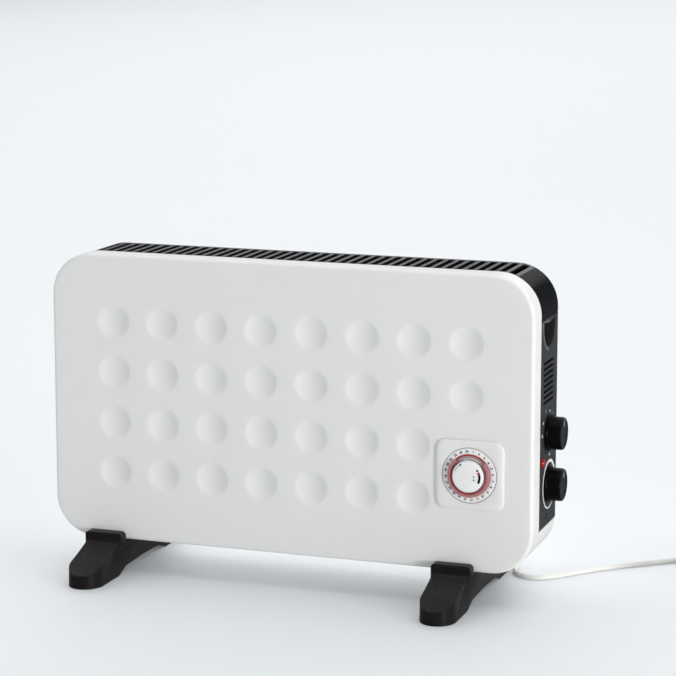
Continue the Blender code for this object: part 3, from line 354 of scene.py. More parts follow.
def looks():
    made = {
        "enamel": Look("enamel_white", (0.78, 0.78, 0.765), 0.38, Coat_Weight=0.15, Coat_Roughness=0.25)
        .mottle(9, 0.015, (1.0, 1.0, 0.985)).rough(60, 0.05).bump(520, 0.00006).bump(90, 0.0002, 0.35),
        "black": Look("black_plastic", (0.013, 0.013, 0.015), 0.22, Specular_IOR_Level=0.22)
        .mottle(40, 0.25).rough(150, 0.05).bump(1400, 0.00005),
        # A darker, almost unreflecting copy of the grille's black for the band's ends: painted shade.
        "band_painted_shade": Look("band_painted_shade", (0.003, 0.003, 0.004), 0.28, Specular_IOR_Level=0.02)
        .mottle(40, 0.25).rough(150, 0.04).bump(1400, 0.00003),
        "panel_black": Look("panel_black", (0.040, 0.042, 0.045), 0.42, Specular_IOR_Level=0.05)
        .mottle(30, 0.12).rough(180, 0.05).bump(1500, 0.00008),
        # A lighter grey for the front of the hand recess's collar: painted highlight.
        "lip": Look("lip_black", (0.11, 0.113, 0.118), 0.35).mottle(60, 0.15).rough(180, 0.05),
        "knob": Look("knob_black", (0.003, 0.003, 0.003), 0.34, Specular_IOR_Level=0.09).mottle(60, 0.3)
        .rough(200, 0.06).bump(1800, 0.00004),
        # A lighter copy of the knob's black for its outer face: painted sheen on the textured face.
        "knob_face_painted_sheen": Look("knob_face_painted_sheen", (0.017, 0.0165, 0.017), 0.36, Specular_IOR_Level=0.08)
        .mottle(220, 0.35).rough(200, 0.06),
        "gloss": Look("gloss_black", (0.006, 0.006, 0.007), 0.14, Specular_IOR_Level=0.2)
        .mottle(50, 0.3).rough(120, 0.03),
        "foot": Look("foot_black", (0.013, 0.0115, 0.011), 0.32, Specular_IOR_Level=0.13)
        .mottle(45, 0.2, (1.0, 0.97, 0.95)).rough(160, 0.06).bump(1100, 0.00010),
        "white": Look("white_plastic", (0.78, 0.78, 0.76), 0.36).mottle(70, 0.02).rough(200, 0.05)
        .bump(1500, 0.00004),
        "dial": Look("dial_white", (0.85, 0.85, 0.84), 0.30).mottle(90, 0.02).rough(250, 0.04)
        .bump(1700, 0.00003),
        "tappet": Look("tappet_red", (0.62, 0.26, 0.27), 0.30, Transmission_Weight=0.2, Subsurface_Weight=0.1)
        .mottle(900, 0.10).rough(400, 0.05),
        # Dark red for the shade in the timer's groove and between its tappets, and a greyed red for the
        # pressed tappets down in the groove: painted shade.
        "tappet_painted_shade": Look("tappet_painted_shade", (0.42, 0.055, 0.06), 0.32).mottle(900, 0.12).rough(400, 0.05),
        "tappet_pressed_painted_shade": Look("tappet_pressed_painted_shade", (0.50, 0.38, 0.38), 0.36).mottle(900, 0.15).rough(400, 0.05),
        "lever": Look("lever_red", (0.50, 0.02, 0.025), 0.30).mottle(300, 0.15).rough(400, 0.05),
        "lens": Look("lens_red", (0.62, 0.01, 0.015), 0.10, Transmission_Weight=0.35, Coat_Weight=0.5)
        .mottle(300, 0.1).rough(400, 0.02),
        "print": Look("print_black", (0.012, 0.012, 0.013), 0.45).mottle(900, 0.2).rough(900, 0.05),
        "print_grey": Look("print_grey", (0.30, 0.30, 0.32), 0.45).mottle(900, 0.2).rough(900, 0.05),
        "print_white": Look("print_white", (0.82, 0.82, 0.82), 0.40).mottle(700, 0.06).rough(700, 0.05),
        "zinc": Look("zinc_steel", (0.60, 0.61, 0.63), 0.32, 1.0).mottle(250, 0.2).rough(300, 0.08)
        .bump(900, 0.00006, stretch=(1, 6, 1)),
        "works": Look("works_grey", (0.16, 0.16, 0.17), 0.5).mottle(80, 0.2).rough(200, 0.06)
        .bump(900, 0.0001),
        "mica": Look("mica_sheet", (0.60, 0.53, 0.40), 0.55, Sheen_Weight=0.1)
        .mottle(500, 0.25, (1.0, 0.95, 0.85)).rough(300, 0.1).bump(700, 0.0001),
        "wire": Look("wire_oxide", (0.30, 0.27, 0.25), 0.42, 1.0).mottle(700, 0.3).rough(700, 0.1),
        "cord": Look("cord_white", (0.80, 0.79, 0.76), 0.42).mottle(60, 0.03).rough(150, 0.06)
        .bump(1200, 0.00006),
        "brass": Look("pin_nickel", (0.72, 0.69, 0.62), 0.25, 1.0).mottle(400, 0.1).rough(500, 0.06),
        # Near-black standing for the shade inside the casing and in its slots, vents, gaps and seams: painted
        # shade.
        "painted_shade": Look("painted_shade_inside", (0.006, 0.006, 0.006), 0.8).mottle(100, 0.3).rough(100, 0.05),
    }
    return {name: look.material for name, look in made.items()}


# ---------------- mesh tools


def skin(bm, rows, around=True, caps=(True, True)):
    """Faces between rows of points that have the same number of points each."""
    made = [[bm.verts.new(point) for point in row] for row in rows]
    count = len(made[0])
    for row, following in zip(made, made[1:]):
        for i in range(count if around else count - 1):
            j = (i + 1) % count
            bm.faces.new((row[i], row[j], following[j], following[i]))
    if caps[0]:
        bm.faces.new(made[0])
    if caps[1]:
        bm.faces.new(made[-1])


def on_axis(axis, u, v, along):
    if axis == "X":
        return Vector((along, u, v))
    if axis == "Y":
        return Vector((u, along, v))
    return Vector((u, v, along))


def prism(bm, axis, outline, start, end):
    skin(bm, [[on_axis(axis, u, v, along) for u, v in outline] for along in (start, end)])


def turned(bm, axis, centre, profile, segments, closed=False):
    """Turn (radius, along) points round an axis. An open profile is capped at both ends."""
    rows = []
    for radius, along in [*profile, profile[0]] if closed else profile:
        rows.append([on_axis(axis, *point, along) for point in circle(centre, radius, segments)])
    skin(bm, rows, caps=(not closed, not closed))


def circle(centre, radius, segments, first=0.0):
    angles = [first + 2 * math.pi * i / segments for i in range(segments)]
    return [(centre[0] + radius * math.cos(a), centre[1] + radius * math.sin(a)) for a in angles]


def rounded_loop(low, high, radius, steps, arc):
    """A rounded rectangle, counter-clockwise from the middle of its low corner's arc."""
    (u0, v0), (u1, v1) = low, high
    corners = (
        (u0 + radius, v0 + radius), (u1 - radius, v0 + radius), (u1 - radius, v1 - radius),
        (u0 + radius, v1 - radius),
    )
    points = []
    for side in range(4):
        count = steps[side % 2]
        a, b = corners[side], corners[(side + 1) % 4]
        for i in range(count):
            share = min(max((i - arc) / (count - 2 * arc), 0), 1)
            turn = 45 * (min(i, arc) + max(i - count + arc, 0)) / arc
            angle = math.radians(225 + 90 * side + turn)
            centre = [p + (q - p) * share for p, q in zip(a, b)]
            points.append((centre[0] + radius * math.cos(angle), centre[1] + radius * math.sin(angle)))
    return points


def towards(border, centre, outline):
    """The points where rays from a centre through the border's points meet an outline."""
    found = []
    for u, v in border:
        du, dv = u - centre[0], v - centre[1]
        best = None
        for (au, av), (bu, bv) in zip(outline, [*outline[1:], outline[0]]):
            eu, ev = bu - au, bv - av
            cross = du * ev - dv * eu
            if abs(cross) < 1e-15:
                continue
            wu, wv = au - centre[0], av - centre[1]
            along = (wu * ev - wv * eu) / cross
            share = (wu * dv - wv * du) / cross
            if along > 0 and -1e-6 <= share <= 1 + 1e-6 and (best is None or along > best):
                best = along
        found.append((centre[0] + du * best, centre[1] + dv * best))
    return found


def round_towards(border, centre, radius):
    found = []
    for u, v in border:
        away = Vector((u - centre[0], v - centre[1])).normalized() * radius
        found.append((centre[0] + away.x, centre[1] + away.y))
    return found


def grown(outline, centre, amount):
    """An outline moved outwards from its centre by about `amount`."""
    found = []
    for u, v in outline:
        away = Vector((u - centre[0], v - centre[1]))
        away += away.normalized() * amount
        found.append((centre[0] + away.x, centre[1] + away.y))
    return found


class Sheet:
    """A rectangular sheet of cells. u_cuts and v_cuts are the cells' edges, with the steps between them."""

    def __init__(self, bm, u_cuts, u_steps, v_cuts, v_steps, place):
        self.bm = bm
        self.cuts = (u_cuts, v_cuts)
        self.steps = (u_steps, v_steps)
        self.place = place

    def along(self, way, first, last):
        """The grid lines from one cut to another, both ends included."""
        cuts, steps = self.cuts[way], self.steps[way]
        lines = []
        for k in range(first, last):
            lines += [cuts[k] + (cuts[k + 1] - cuts[k]) * i / steps[k] for i in range(steps[k])]
        return [*lines, cuts[last]]

    def border(self, i0, i1, j0, j1):
        us, vs = self.along(0, i0, i1), self.along(1, j0, j1)
        loop = [(u, vs[0]) for u in us[:-1]]
        loop += [(us[-1], v) for v in vs[:-1]]
        loop += [(u, vs[-1]) for u in us[:0:-1]]
        return loop + [(us[0], v) for v in vs[:0:-1]]

    def cell(self, i, j):
        return self.border(i, i + 1, j, j + 1)

    def whole(self):
        return self.border(0, len(self.steps[0]), 0, len(self.steps[1]))

    def rows(self, rings, cap=False):
        skin(self.bm, [[self.place(u, v, n) for u, v in ring] for ring, n in rings], caps=(False, cap))

    def flat(self, i0, i1, j0, j1, n):
        us, vs = self.along(0, i0, i1), self.along(1, j0, j1)
        rows = [[self.place(u, v, n) for u in us] for v in vs]
        skin(self.bm, rows, around=False, caps=(False, False))

    def rim(self, edge, depth):
        """Close the sheet's outer edge with a rounding that starts at the cells' outer border."""
        steps = 3
        loop = self.whole()
        (u0, u1), (v0, v1) = [(cuts[0], cuts[-1]) for cuts in self.cuts]

        def moved(by):
            return [(u + by * ((u == u1) - (u == u0)), v + by * ((v == v1) - (v == v0))) for u, v in loop]

        rings = []
        for i in range(steps + 1):
            angle = math.pi / 2 * i / steps
            rings.append((moved(edge * math.sin(angle)), edge * (1 - math.cos(angle))))
        self.rows([*rings, (moved(edge), depth), (loop, depth)])


def piece(name, bm, look, body="heater", stands_for=(), sharp=35):
    """The shape as a piece with its look, body and the nodes it stands for."""
    bmesh.ops.remove_doubles(bm, verts=bm.verts, dist=1e-6)
    bmesh.ops.recalc_face_normals(bm, faces=bm.faces)
    mesh = bpy.data.meshes.new(name)
    bm.to_mesh(mesh)
    bm.free()
    mesh.shade_smooth()
    mesh.set_sharp_from_angle(angle=math.radians(sharp))
    made = placed(name, mesh)
    mesh.materials.append(look)
    if stands_for:
        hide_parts(*stands_for)
    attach(made, body)
    return made


def recolour(made, look, chosen):
    """Faces picked by their centre and normal take another look."""
    made.data.materials.append(look)
    for face in made.data.polygons:
        if chosen(face.center, face.normal):
            face.material_index = len(made.data.materials) - 1


def soften(made, width, segments, angle=35):
    modifier = made.modifiers.new("soft_edges", "BEVEL")
    modifier.width = width
    modifier.segments = segments
    modifier.limit_method = "ANGLE"
    modifier.angle_limit = math.radians(angle)
    modifier.harden_normals = True


def carve(made, shapes, operation="DIFFERENCE"):
    """Boolean the object with each shape(bm), and keep the result as its mesh."""
    for shape in shapes:
        bm = bmesh.new()
        shape(bm)
        bmesh.ops.recalc_face_normals(bm, faces=bm.faces)
        mesh = bpy.data.meshes.new("cutter")
        bm.to_mesh(mesh)
        bm.free()
        cutter = placed("cutter", mesh)
        modifier = made.modifiers.new("carve", "BOOLEAN")
        modifier.operation = operation
        modifier.object = cutter
        modifier.solver = "EXACT"
        settle(made)
        bpy.data.objects.remove(cutter)


def settle(made, sharp=35):
    """Apply the object's modifiers to its mesh."""
    graph = bpy.context.evaluated_depsgraph_get()
    mesh = bpy.data.meshes.new_from_object(made.evaluated_get(graph))
    made.modifiers.clear()
    made.data = mesh
    mesh.shade_smooth()
    mesh.set_sharp_from_angle(angle=math.radians(sharp))


# ---------------- casing


def casing_loop(inset, steps, arc):
    low = (PANEL_LOW.x + inset, PANEL_LOW.z + inset)
    high = (PANEL_HIGH.x - inset, PANEL_HIGH.z - inset)
    return rounded_loop(low, high, CORNER_RADIUS - inset, steps, arc)


def tray_rings(sheet, face_y, rim_y, edge, arc):
    """Rings from the sheet's border over the rounded edge and along the flange, in the frame."""
    way = 1 if rim_y > face_y else -1
    steps = (sum(sheet.steps[0]), sum(sheet.steps[1]))
    rings = [[(u, face_y, v) for u, v in sheet.whole()]]
    rings.append([(u, face_y, v) for u, v in casing_loop(edge + 0.006, steps, arc)])
    for i in range(9):
        angle = math.pi / 2 * i / 8
        loop = casing_loop(edge * (1 - math.sin(angle)), steps, arc)
        rings.append([(u, face_y + way * edge * (1 - math.cos(angle)), v) for u, v in loop])
    loop = casing_loop(0, steps, arc)
    for share in (0.35, 0.7, 1.0):
        y = face_y + way * edge + (rim_y - face_y - way * edge) * share
        rings.append([(u, y, v) for u, v in loop])
    skin(sheet.bm, rings, caps=(False, False))


def thicken(made, inside):
    """The sheet gets its thickness, with its inner side painted near-black for the shade inside the casing:
    painted shade.
    """
    made.data.materials.append(inside)
    modifier = made.modifiers.new("sheet_metal", "SOLIDIFY")
    modifier.thickness = STEEL
    modifier.offset = -1
    modifier.material_offset = 1
    settle(made, 50)


def dimple_depth(radius):
    """A ball's section that fades softly into the flat round it."""
    ball = (DIMPLE_RADIUS**2 + DIMPLE_DEPTH**2) / (2 * DIMPLE_DEPTH)
    cap = math.sqrt(ball**2 - radius**2) - (ball - DIMPLE_DEPTH)
    depth = (cap + math.sqrt(cap**2 + DIMPLE_BLEND**2)) / 2
    fade = min(max((DIMPLE_FADE[0] - radius) / DIMPLE_FADE[1], 0), 1)
    return depth * fade * fade * (3 - 2 * fade)


def front_panel(look, inside):
    """The pressed panel: a cell to each dimple, and two cells of the last column for the timer's hole."""
    bm = bmesh.new()
    u_cuts = [DIMPLE_FIRST[0] + DIMPLE_PITCH[0] * (i - 0.5) for i in range(DIMPLE_COLUMNS)]
    u_cuts.append(u_cuts[-1] + DIMPLE_PITCH[0] + TIMER_COLUMN_EXTRA)
    v_cuts = [DIMPLE_FIRST[1] - DIMPLE_PITCH[1] * (DIMPLE_ROWS - 0.5 - j) for j in range(DIMPLE_ROWS + 1)]
    u_steps, v_steps = [CELL_STEPS] * DIMPLE_COLUMNS, [CELL_STEPS] * DIMPLE_ROWS
    sheet = Sheet(bm, u_cuts, u_steps, v_cuts, v_steps, lambda u, v, n: (u, FACE_Y + n, v))
    for i in range(DIMPLE_COLUMNS):
        for j in range(DIMPLE_ROWS):
            if i == DIMPLE_COLUMNS - 1 and j < 2:
                continue
            centre = (DIMPLE_FIRST[0] + DIMPLE_PITCH[0] * i, v_cuts[j] + DIMPLE_PITCH[1] / 2)
            border = sheet.cell(i, j)
            rings = [(border, 0)]
            for radius in DIMPLE_RINGS:
                rings.append((round_towards(border, centre, radius / 1000), dimple_depth(radius / 1000)))
            sheet.rows(rings, cap=True)
    last = DIMPLE_COLUMNS - 1
    border = sheet.border(last, last + 1, 0, 2)
    centre = (TIMER.x, TIMER.z)
    timer_hole = [(round_towards(border, centre, radius), 0) for radius in TIMER_OPENING]
    sheet.rows([(border, 0), *timer_hole])
    tray_rings(sheet, FACE_Y, FLANGE_Y, SHEET_EDGE, 14)
    made = piece("casing_front", bm, look, stands_for=["front_panel"], sharp=50)
    thicken(made, inside)


def arch_point(s, n):
    """The point (x, z) at a distance s along the band's outer face from the top middle, n inside it."""
    way = 1 if s >= 0 else -1
    past = abs(s) - BAND_STRAIGHT
    turn = min(max(past / BAND_RADIUS, 0), math.pi / 2)
    drop = max(past - BAND_RADIUS * math.pi / 2, 0)
    x = min(abs(s), BAND_STRAIGHT) + (BAND_RADIUS - n) * math.sin(turn)
    z = GRILLE_HIGH.z - BAND_RADIUS + (BAND_RADIUS - n) * math.cos(turn) - drop
    return MIDDLE_X + way * x, z


def top_grille(look):
    """The slotted band that wraps both top corners; the slots' walls are painted near-black for the shade in
    them: painted shade.
    """
    bm = bmesh.new()
    edge = 0.0008
    arc = BAND_RADIUS * math.pi / 2
    reach = BAND_STRAIGHT + arc + (GRILLE_HIGH.z - BAND_RADIUS - SEAM_TOP)
    half = GRILLE_SLOTS * GRILLE_PITCH / 2
    cells = [GRILLE_OFFSET - half + GRILLE_PITCH * i for i in range(GRILLE_SLOTS + 1)]
    u_cuts = [-reach + edge, *cells, reach - edge]
    u_steps = [28, *[5] * GRILLE_SLOTS, 28]
    slot_low, slot_high = BAND_Y + GRILLE_MARGIN, REAR_Y - GRILLE_MARGIN
    v_cuts = [BAND_Y + edge, slot_low - 0.002, slot_high + 0.002, REAR_Y - edge]
    v_steps = [2, 16, 2]

    def place(u, v, n):
        x, z = arch_point(u, n)
        return x, v, z

    sheet = Sheet(bm, u_cuts, u_steps, v_cuts, v_steps, place)
    for i in range(1, GRILLE_SLOTS + 1):
        border = sheet.cell(i, 1)
        middle = (u_cuts[i] + u_cuts[i + 1]) / 2
        rings = [(border, 0)]
        for out, n in ((0.0008, 0), (0.0004, 0.0001), (0.0001, 0.0004), (0, 0.0008), (0, PLASTIC)):
            low = (middle - GRILLE_SLOT / 2 - out, slot_low - out)
            high = (middle + GRILLE_SLOT / 2 + out, slot_high + out)
            rings.append((rounded_loop(low, high, GRILLE_CORNER + out, (5, 16), 2), n))
        sheet.rows([*rings, (border, PLASTIC)])
    last = len(u_steps)
    for n in (0, PLASTIC):
        sheet.flat(0, last, 0, 1, n)
        sheet.flat(0, last, 2, 3, n)
        sheet.flat(0, 1, 1, 2, n)
        sheet.flat(last - 1, last, 1, 2, n)
    sheet.rim(edge, PLASTIC)
    made = piece("grille_top", bm, look["black"], stands_for=["top_grille"], sharp=50)
    end = half + 0.0015
    # Faces that don't face up within the slotted length are painted near-black for the shade in the slots:
    # painted shade.
    recolour(made, look["painted_shade"], lambda c, n: abs(n.z) < 0.5 and abs(c.x - MIDDLE_X - GRILLE_OFFSET) < end)
    # Beyond the slots the band takes a darker, almost unreflecting copy of the grille's black: painted shade.
    recolour(made, look["band_painted_shade"], lambda c, n: abs(c.x - MIDDLE_X - GRILLE_OFFSET) >= end)


def recess_outline():
    steps = 28
    half = RECESS_SIZE[0] / 2
    straight = 0.006
    height = RECESS_SIZE[1] - straight
    points = []
    for i in range(steps + 1):
        share = i / steps
        dip = RECESS_DIP * math.sin(math.pi * share) ** 2
        points.append((SIDE_Y + half * (1 - 2 * share), RECESS_TOP - dip))
    for i in range(steps + 1):
        angle = math.pi * (1 + i / steps)
        points.append((SIDE_Y + half * math.cos(angle), RECESS_TOP - straight + height * math.sin(angle)))
    return points


def round_hole(sheet, row, centre, radius, chamfer):
    border = sheet.cell(1, row)
    hole = round_towards(border, centre, radius)
    rings = [(border, 0), (round_towards(border, centre, radius + chamfer), 0)]
    sheet.rows([*rings, (hole, chamfer), (hole, PLASTIC), (border, PLASTIC)])


def side_vents(sheet):
    for i in range(VENTS):
        border = sheet.cell(1, FIRST_VENT_ROW + i)
        z = VENT_FIRST_Z + VENT_PITCH * i
        rings = [(border, 0)]
        for out, n in ((0.0005, 0), (0.00015, 0.00015), (0, 0.0005), (0, PLASTIC)):
            low = (SIDE_Y - VENT_SIZE[0] / 2 - out, z - VENT_SIZE[1] / 2 - out)
            high = (SIDE_Y + VENT_SIZE[0] / 2 + out, z + VENT_SIZE[1] / 2 + out)
            rings.append((vent_loop(low, high), n))
        sheet.rows([*rings, (border, PLASTIC)])


def hand_recess(sheet, top):
    """A cup with a raised collar that stays below the top height, and the cup's outside behind it."""
    border = sheet.cell(1, RECESS_ROW)
    centre = (SIDE_Y, RECESS_TOP - 0.012)
    opening = towards(border, centre, recess_outline())
    collar = ((0.0042, 0), (0.0040, -0.0004), (0.0034, -0.0007))
    collar += ((0.0012, -0.0007), (0.0004, -0.0004), (0, 0.0003))
    rings = [(border, 0)]
    for out, n in collar:
        rings.append(([(u, min(v, top)) for u, v in grown(opening, centre, out)], n))
    rings += [(opening, RECESS_DEPTH - 0.004), (grown(opening, centre, -0.0012), RECESS_DEPTH - 0.0012)]
    rings.append((grown(opening, centre, -0.004), RECESS_DEPTH))
    sheet.rows(rings, cap=True)
    back = [(u, min(v, top)) for u, v in grown(opening, centre, 0.0019)]
    sheet.rows([(border, PLASTIC), (back, PLASTIC), (back, RECESS_DEPTH + 0.0018)], cap=True)


def grip_ribs(name, side, look):
    bm = bmesh.new()
    start = MIDDLE_X + side * BAND_OUTER - side * (RECESS_DEPTH + 0.0004)
    for i in range(7):
        y = SIDE_Y + (i - 3) * 0.0058
        reach = math.sqrt(max(1 - ((y - SIDE_Y) / 0.027) ** 2, 0))
        low, high = RECESS_TOP - 0.006 - 0.0225 * reach, RECESS_TOP - 0.005
        outline = [(y - 0.0009, low), (y + 0.0009, low), (y + 0.0009, high), (y - 0.0009, high)]
        prism(bm, "X", outline, start, start + side * 0.0022)
    soften(piece(f"{name}_grip_ribs", bm, look), 0.0004, 2)


def side_panel(name, side, look, node, shafts):
    """One end of the casing with its holes, its vents and its hand recess."""
    bm = bmesh.new()
    outer = MIDDLE_X + side * BAND_OUTER
    edge = 0.0006
    u_cuts = [BAND_Y + edge, *RECESS_COLUMN, REAR_Y - edge]
    vents = [VENT_FIRST_Z - VENT_PITCH / 2 + VENT_PITCH * i for i in range(VENTS + 1)]
    v_cuts = [SEAM_LOW + edge, *SIDE_ROWS, *vents, RECESS_CELL_LOW, SEAM_TOP - GAP - edge]
    u_steps = [2, 30, 2]
    v_steps = [8, 2, 10, 6, 10, 5, *[2] * VENTS, 2, 20]
    sheet = Sheet(bm, u_cuts, u_steps, v_cuts, v_steps, lambda u, v, n: (outer - side * n, u, v))

    holes = {SIDE_SCREW_ROW: (SIDE_SCREW, 0.0033, 0.0006)}
    if shafts:
        holes[THERMOSTAT_ROW] = ((THERMOSTAT.y, THERMOSTAT.z), 0.0037, 0.0003)
        holes[SELECTOR_ROW] = ((SELECTOR.y, SELECTOR.z), 0.0037, 0.0003)
    for row, hole in holes.items():
        round_hole(sheet, row, *hole)
    side_vents(sheet)
    hand_recess(sheet, v_cuts[-1] - 0.0001)

    done = {*holes, *range(FIRST_VENT_ROW, FIRST_VENT_ROW + VENTS), RECESS_ROW}
    last = len(v_steps)
    for n in (0, PLASTIC):
        sheet.flat(0, 1, 0, last, n)
        sheet.flat(2, 3, 0, last, n)
        for j in range(last):
            if j not in done:
                sheet.flat(1, 2, j, j + 1, n)
    sheet.rim(edge, PLASTIC)
    made = piece(name, bm, look["panel_black"], stands_for=[node], sharp=45)
    # Faces more than 0.6 mm in from the outer face, the insides of the holes, vents and hand recess and the
    # panel's back, are painted near-black for the shade in them: painted shade.
    recolour(made, look["painted_shade"], lambda c, n: (c.x - outer) * side < -0.0006)
    # The front and top edges are painted near-black for the shade in the seams and on the rounded edges:
    # painted shade.
    recolour(made, look["painted_shade"], lambda c, n: c.y < BAND_Y + 0.0012 or c.z > SEAM_TOP - 0.0016)
    # The raised collar's front part is painted a lighter grey: painted highlight.
    recolour(made, look["lip"], lambda c, n: (c.x - outer) * side > 0.0001 and c.y < SIDE_Y - 0.004)
    grip_ribs(name, side, look["knob"])


def vent_loop(low, high):
    """A vent's outline that matches its cell's border of 30 by 2 steps."""
    (u0, v0), (u1, v1) = low, high
    radius = (v1 - v0) / 2
    middle = (v0 + v1) / 2
    straight = [u0 + radius * 0.6 + (u1 - u0 - radius * 1.2) * i / 28 for i in range(29)]
    points = [(u0 + radius * 0.15, v0 + radius * 0.25), *[(u, v0) for u in straight]]
    points += [(u1 - radius * 0.15, v0 + radius * 0.25), (u1, middle)]
    points += [(u1 - radius * 0.15, v1 - radius * 0.25), *[(u, v1) for u in reversed(straight)]]
    points += [(u0 + radius * 0.15, v1 - radius * 0.25), (u0, middle)]
    return points


def rear_shell(look, inside):
    """The rear tray with its intake slots, cut away where the grille and the side panels wrap it."""
    bm = bmesh.new()
    cells = [REAR_FIRST + REAR_PITCH * (i - 0.5) for i in range(REAR_COLUMNS + 1)]
    u_cuts = [PANEL_LOW.x + REAR_MARGIN, *cells, PANEL_HIGH.x - REAR_MARGIN]
    u_steps = [4, *[3] * REAR_COLUMNS, 4]
    v_cuts = [PANEL_LOW.z + REAR_MARGIN, *REAR_ROWS, PANEL_HIGH.z - REAR_MARGIN]
    v_steps = [5, 8, 2, 8, 8, 8]
    sheet = Sheet(bm, u_cuts, u_steps, v_cuts, v_steps, lambda u, v, n: (u, REAR_Y - n, v))
    last_u, last_v = len(u_steps), len(v_steps)
    for i in range(1, last_u - 1):
        middle = (u_cuts[i] + u_cuts[i + 1]) / 2
        for j in REAR_SLOT_ROWS:
            border = sheet.cell(i, j)
            z0 = v_cuts[j] + 0.004
            rings = [(border, 0)]
            for out, n in ((0.0012, 0), (0.0004, 0.0003), (0, 0.0009)):
                low = (middle - REAR_SLOT[0] / 2 - out, z0 - out)
                high = (middle + REAR_SLOT[0] / 2 + out, z0 + REAR_SLOT[1] + out)
                rings.append((rounded_loop(low, high, 0.0022 + out, (3, 8), 1), n))
            sheet.rows(rings)
    for j in range(last_v):
        if j in REAR_SLOT_ROWS:
            sheet.flat(0, 1, j, j + 1, 0)
            sheet.flat(last_u - 1, last_u, j, j + 1, 0)
        else:
            sheet.flat(0, last_u, j, j + 1, 0)
    tray_rings(sheet, REAR_Y, BAND_Y, SHEET_EDGE, 8)
    made = piece("casing_rear", bm, look, stands_for=["rear_shell"], sharp=50)
    thicken(made, inside)

    def above_seam(bm):
        rows = []
        for y in (BAND_Y - 0.01, REAR_Y + 0.01):
            outer = [arch_point(s, -0.02) for s in arch_stations()]
            inner = [arch_point(s, PLASTIC + GAP) for s in arch_stations()]
            outline = [(outer[0][0], SEAM_LOW - GAP), *outer, (outer[-1][0], SEAM_LOW - GAP)]
            outline += [(inner[-1][0], SEAM_LOW - GAP), *reversed(inner), (inner[0][0], SEAM_LOW - GAP)]
            rows.append([(x, y, z) for x, z in outline])
        skin(bm, rows)

    def base_slots(bm):
        for i in range(BASE_SLOTS):
            x = MIDDLE_X - 0.20 + BASE_PITCH * i
            outline = rounded_loop((x, -0.012), (x + 0.007, 0.044), 0.0030, (6, 10), 2)
            prism(bm, "Z", outline, PANEL_LOW.z - 0.01, PANEL_LOW.z + 0.01)

    def cord_hole(bm):
        profile = ((0.0064, REAR_Y - 0.01), (0.0064, REAR_Y + 0.01))
        turned(bm, "Y", (CORD_EXIT[0], CORD_EXIT[2]), profile, 40)

    carve(made, (above_seam, base_slots, cord_hole))


def arch_stations():
    """Distances for arch_point that cover both rounded corners."""
    arc = BAND_RADIUS * math.pi / 2
    stations = [-BAND_STRAIGHT - arc * (1 - i / 24) for i in range(25)]
    return [*stations, *[-s for s in reversed(stations)]]


# ---------------- feet and screws


def foot(side, end, look):
    """Half a foot: its side view as a prism, cut to the plan and the front view."""
    node = f"foot_{side}_{end}"
    low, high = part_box(node)
    x = (low.x + high.x) / 2
    clip, half = (high.x - low.x) / 2, FOOT_WIDTH / 2
    way = -1 if end == "front" else 1
    reach = max(abs(low.y), abs(high.y))
    top = high.z
    side_view = (
        (0.00015, 0.0090), (0.0500, 0.0075), (0.0680, 0.0008), (0.0705, 0.0), (reach, 0.0),
        (reach, 0.0158), (0.1150, 0.0258), (0.0945, 0.0320), (0.0790, 0.0376), (0.0735, 0.0398),
        (0.0708, 0.0418), (0.0698, 0.0442), (0.0697, 0.0470), (0.0690, 0.0496), (0.0676, 0.0514),
        (0.0655, top), (0.0553, top), (0.0553, PANEL_LOW.z - GAP), (0.00015, PANEL_LOW.z - GAP),
    )
    bm = bmesh.new()
    prism(bm, "X", [(way * y, z) for y, z in side_view], x - clip - 0.01, x + clip + 0.01)
    made = piece(f"foot_moulding_{side}_{end}", bm, look, stands_for=[node])

    def plan(bm):
        rows = []
        for z, draft in ((-0.01, 0.0), (0.0, 0.0), (0.07, 0.0012)):
            wide, narrow = clip - draft * 0.3, half - draft
            points = [(x + wide, way * 0.0668), (x + wide, way * -0.01), (x - wide, way * -0.01)]
            points += [(x - wide, way * 0.0668), (x - narrow, way * 0.0735)]
            for i in range(33):
                angle = math.pi * (1 - i / 32)
                y = reach - draft - FOOT_TOE + FOOT_TOE * math.sin(angle)
                points.append((x + narrow * math.cos(angle), way * y))
            points.append((x + narrow, way * 0.0735))
            rows.append([(u, v, z) for u, v in points])
        skin(bm, rows)

    def front_view(bm):
        corner = 0.0058
        right = [(half, -0.01), (half, 0.0325), (clip, 0.0365), (clip, top - corner)]
        for i in range(1, 8):
            angle = math.pi / 2 * i / 8
            u, v = clip - corner + corner * math.cos(angle), top - corner + corner * math.sin(angle)
            right.append((u, v))
        right.append((clip - corner, top + 0.0001))
        outline = [(x + u, v) for u, v in right] + [(x - u, v) for u, v in reversed(right)]
        prism(bm, "Y", outline, -0.2, 0.2)

    carve(made, (plan, front_view), "INTERSECT")
    screw_y = -0.012 if end == "front" else 0.030

    def well(bm):
        profile = ((0.0046, -0.01), (0.0046, 0.0150), (0.0024, 0.0150), (0.0024, 0.06))
        turned(bm, "Z", (x, screw_y), profile, 32)

    carve(made, (well,))
    soften(made, 0.0014, 3, 32)


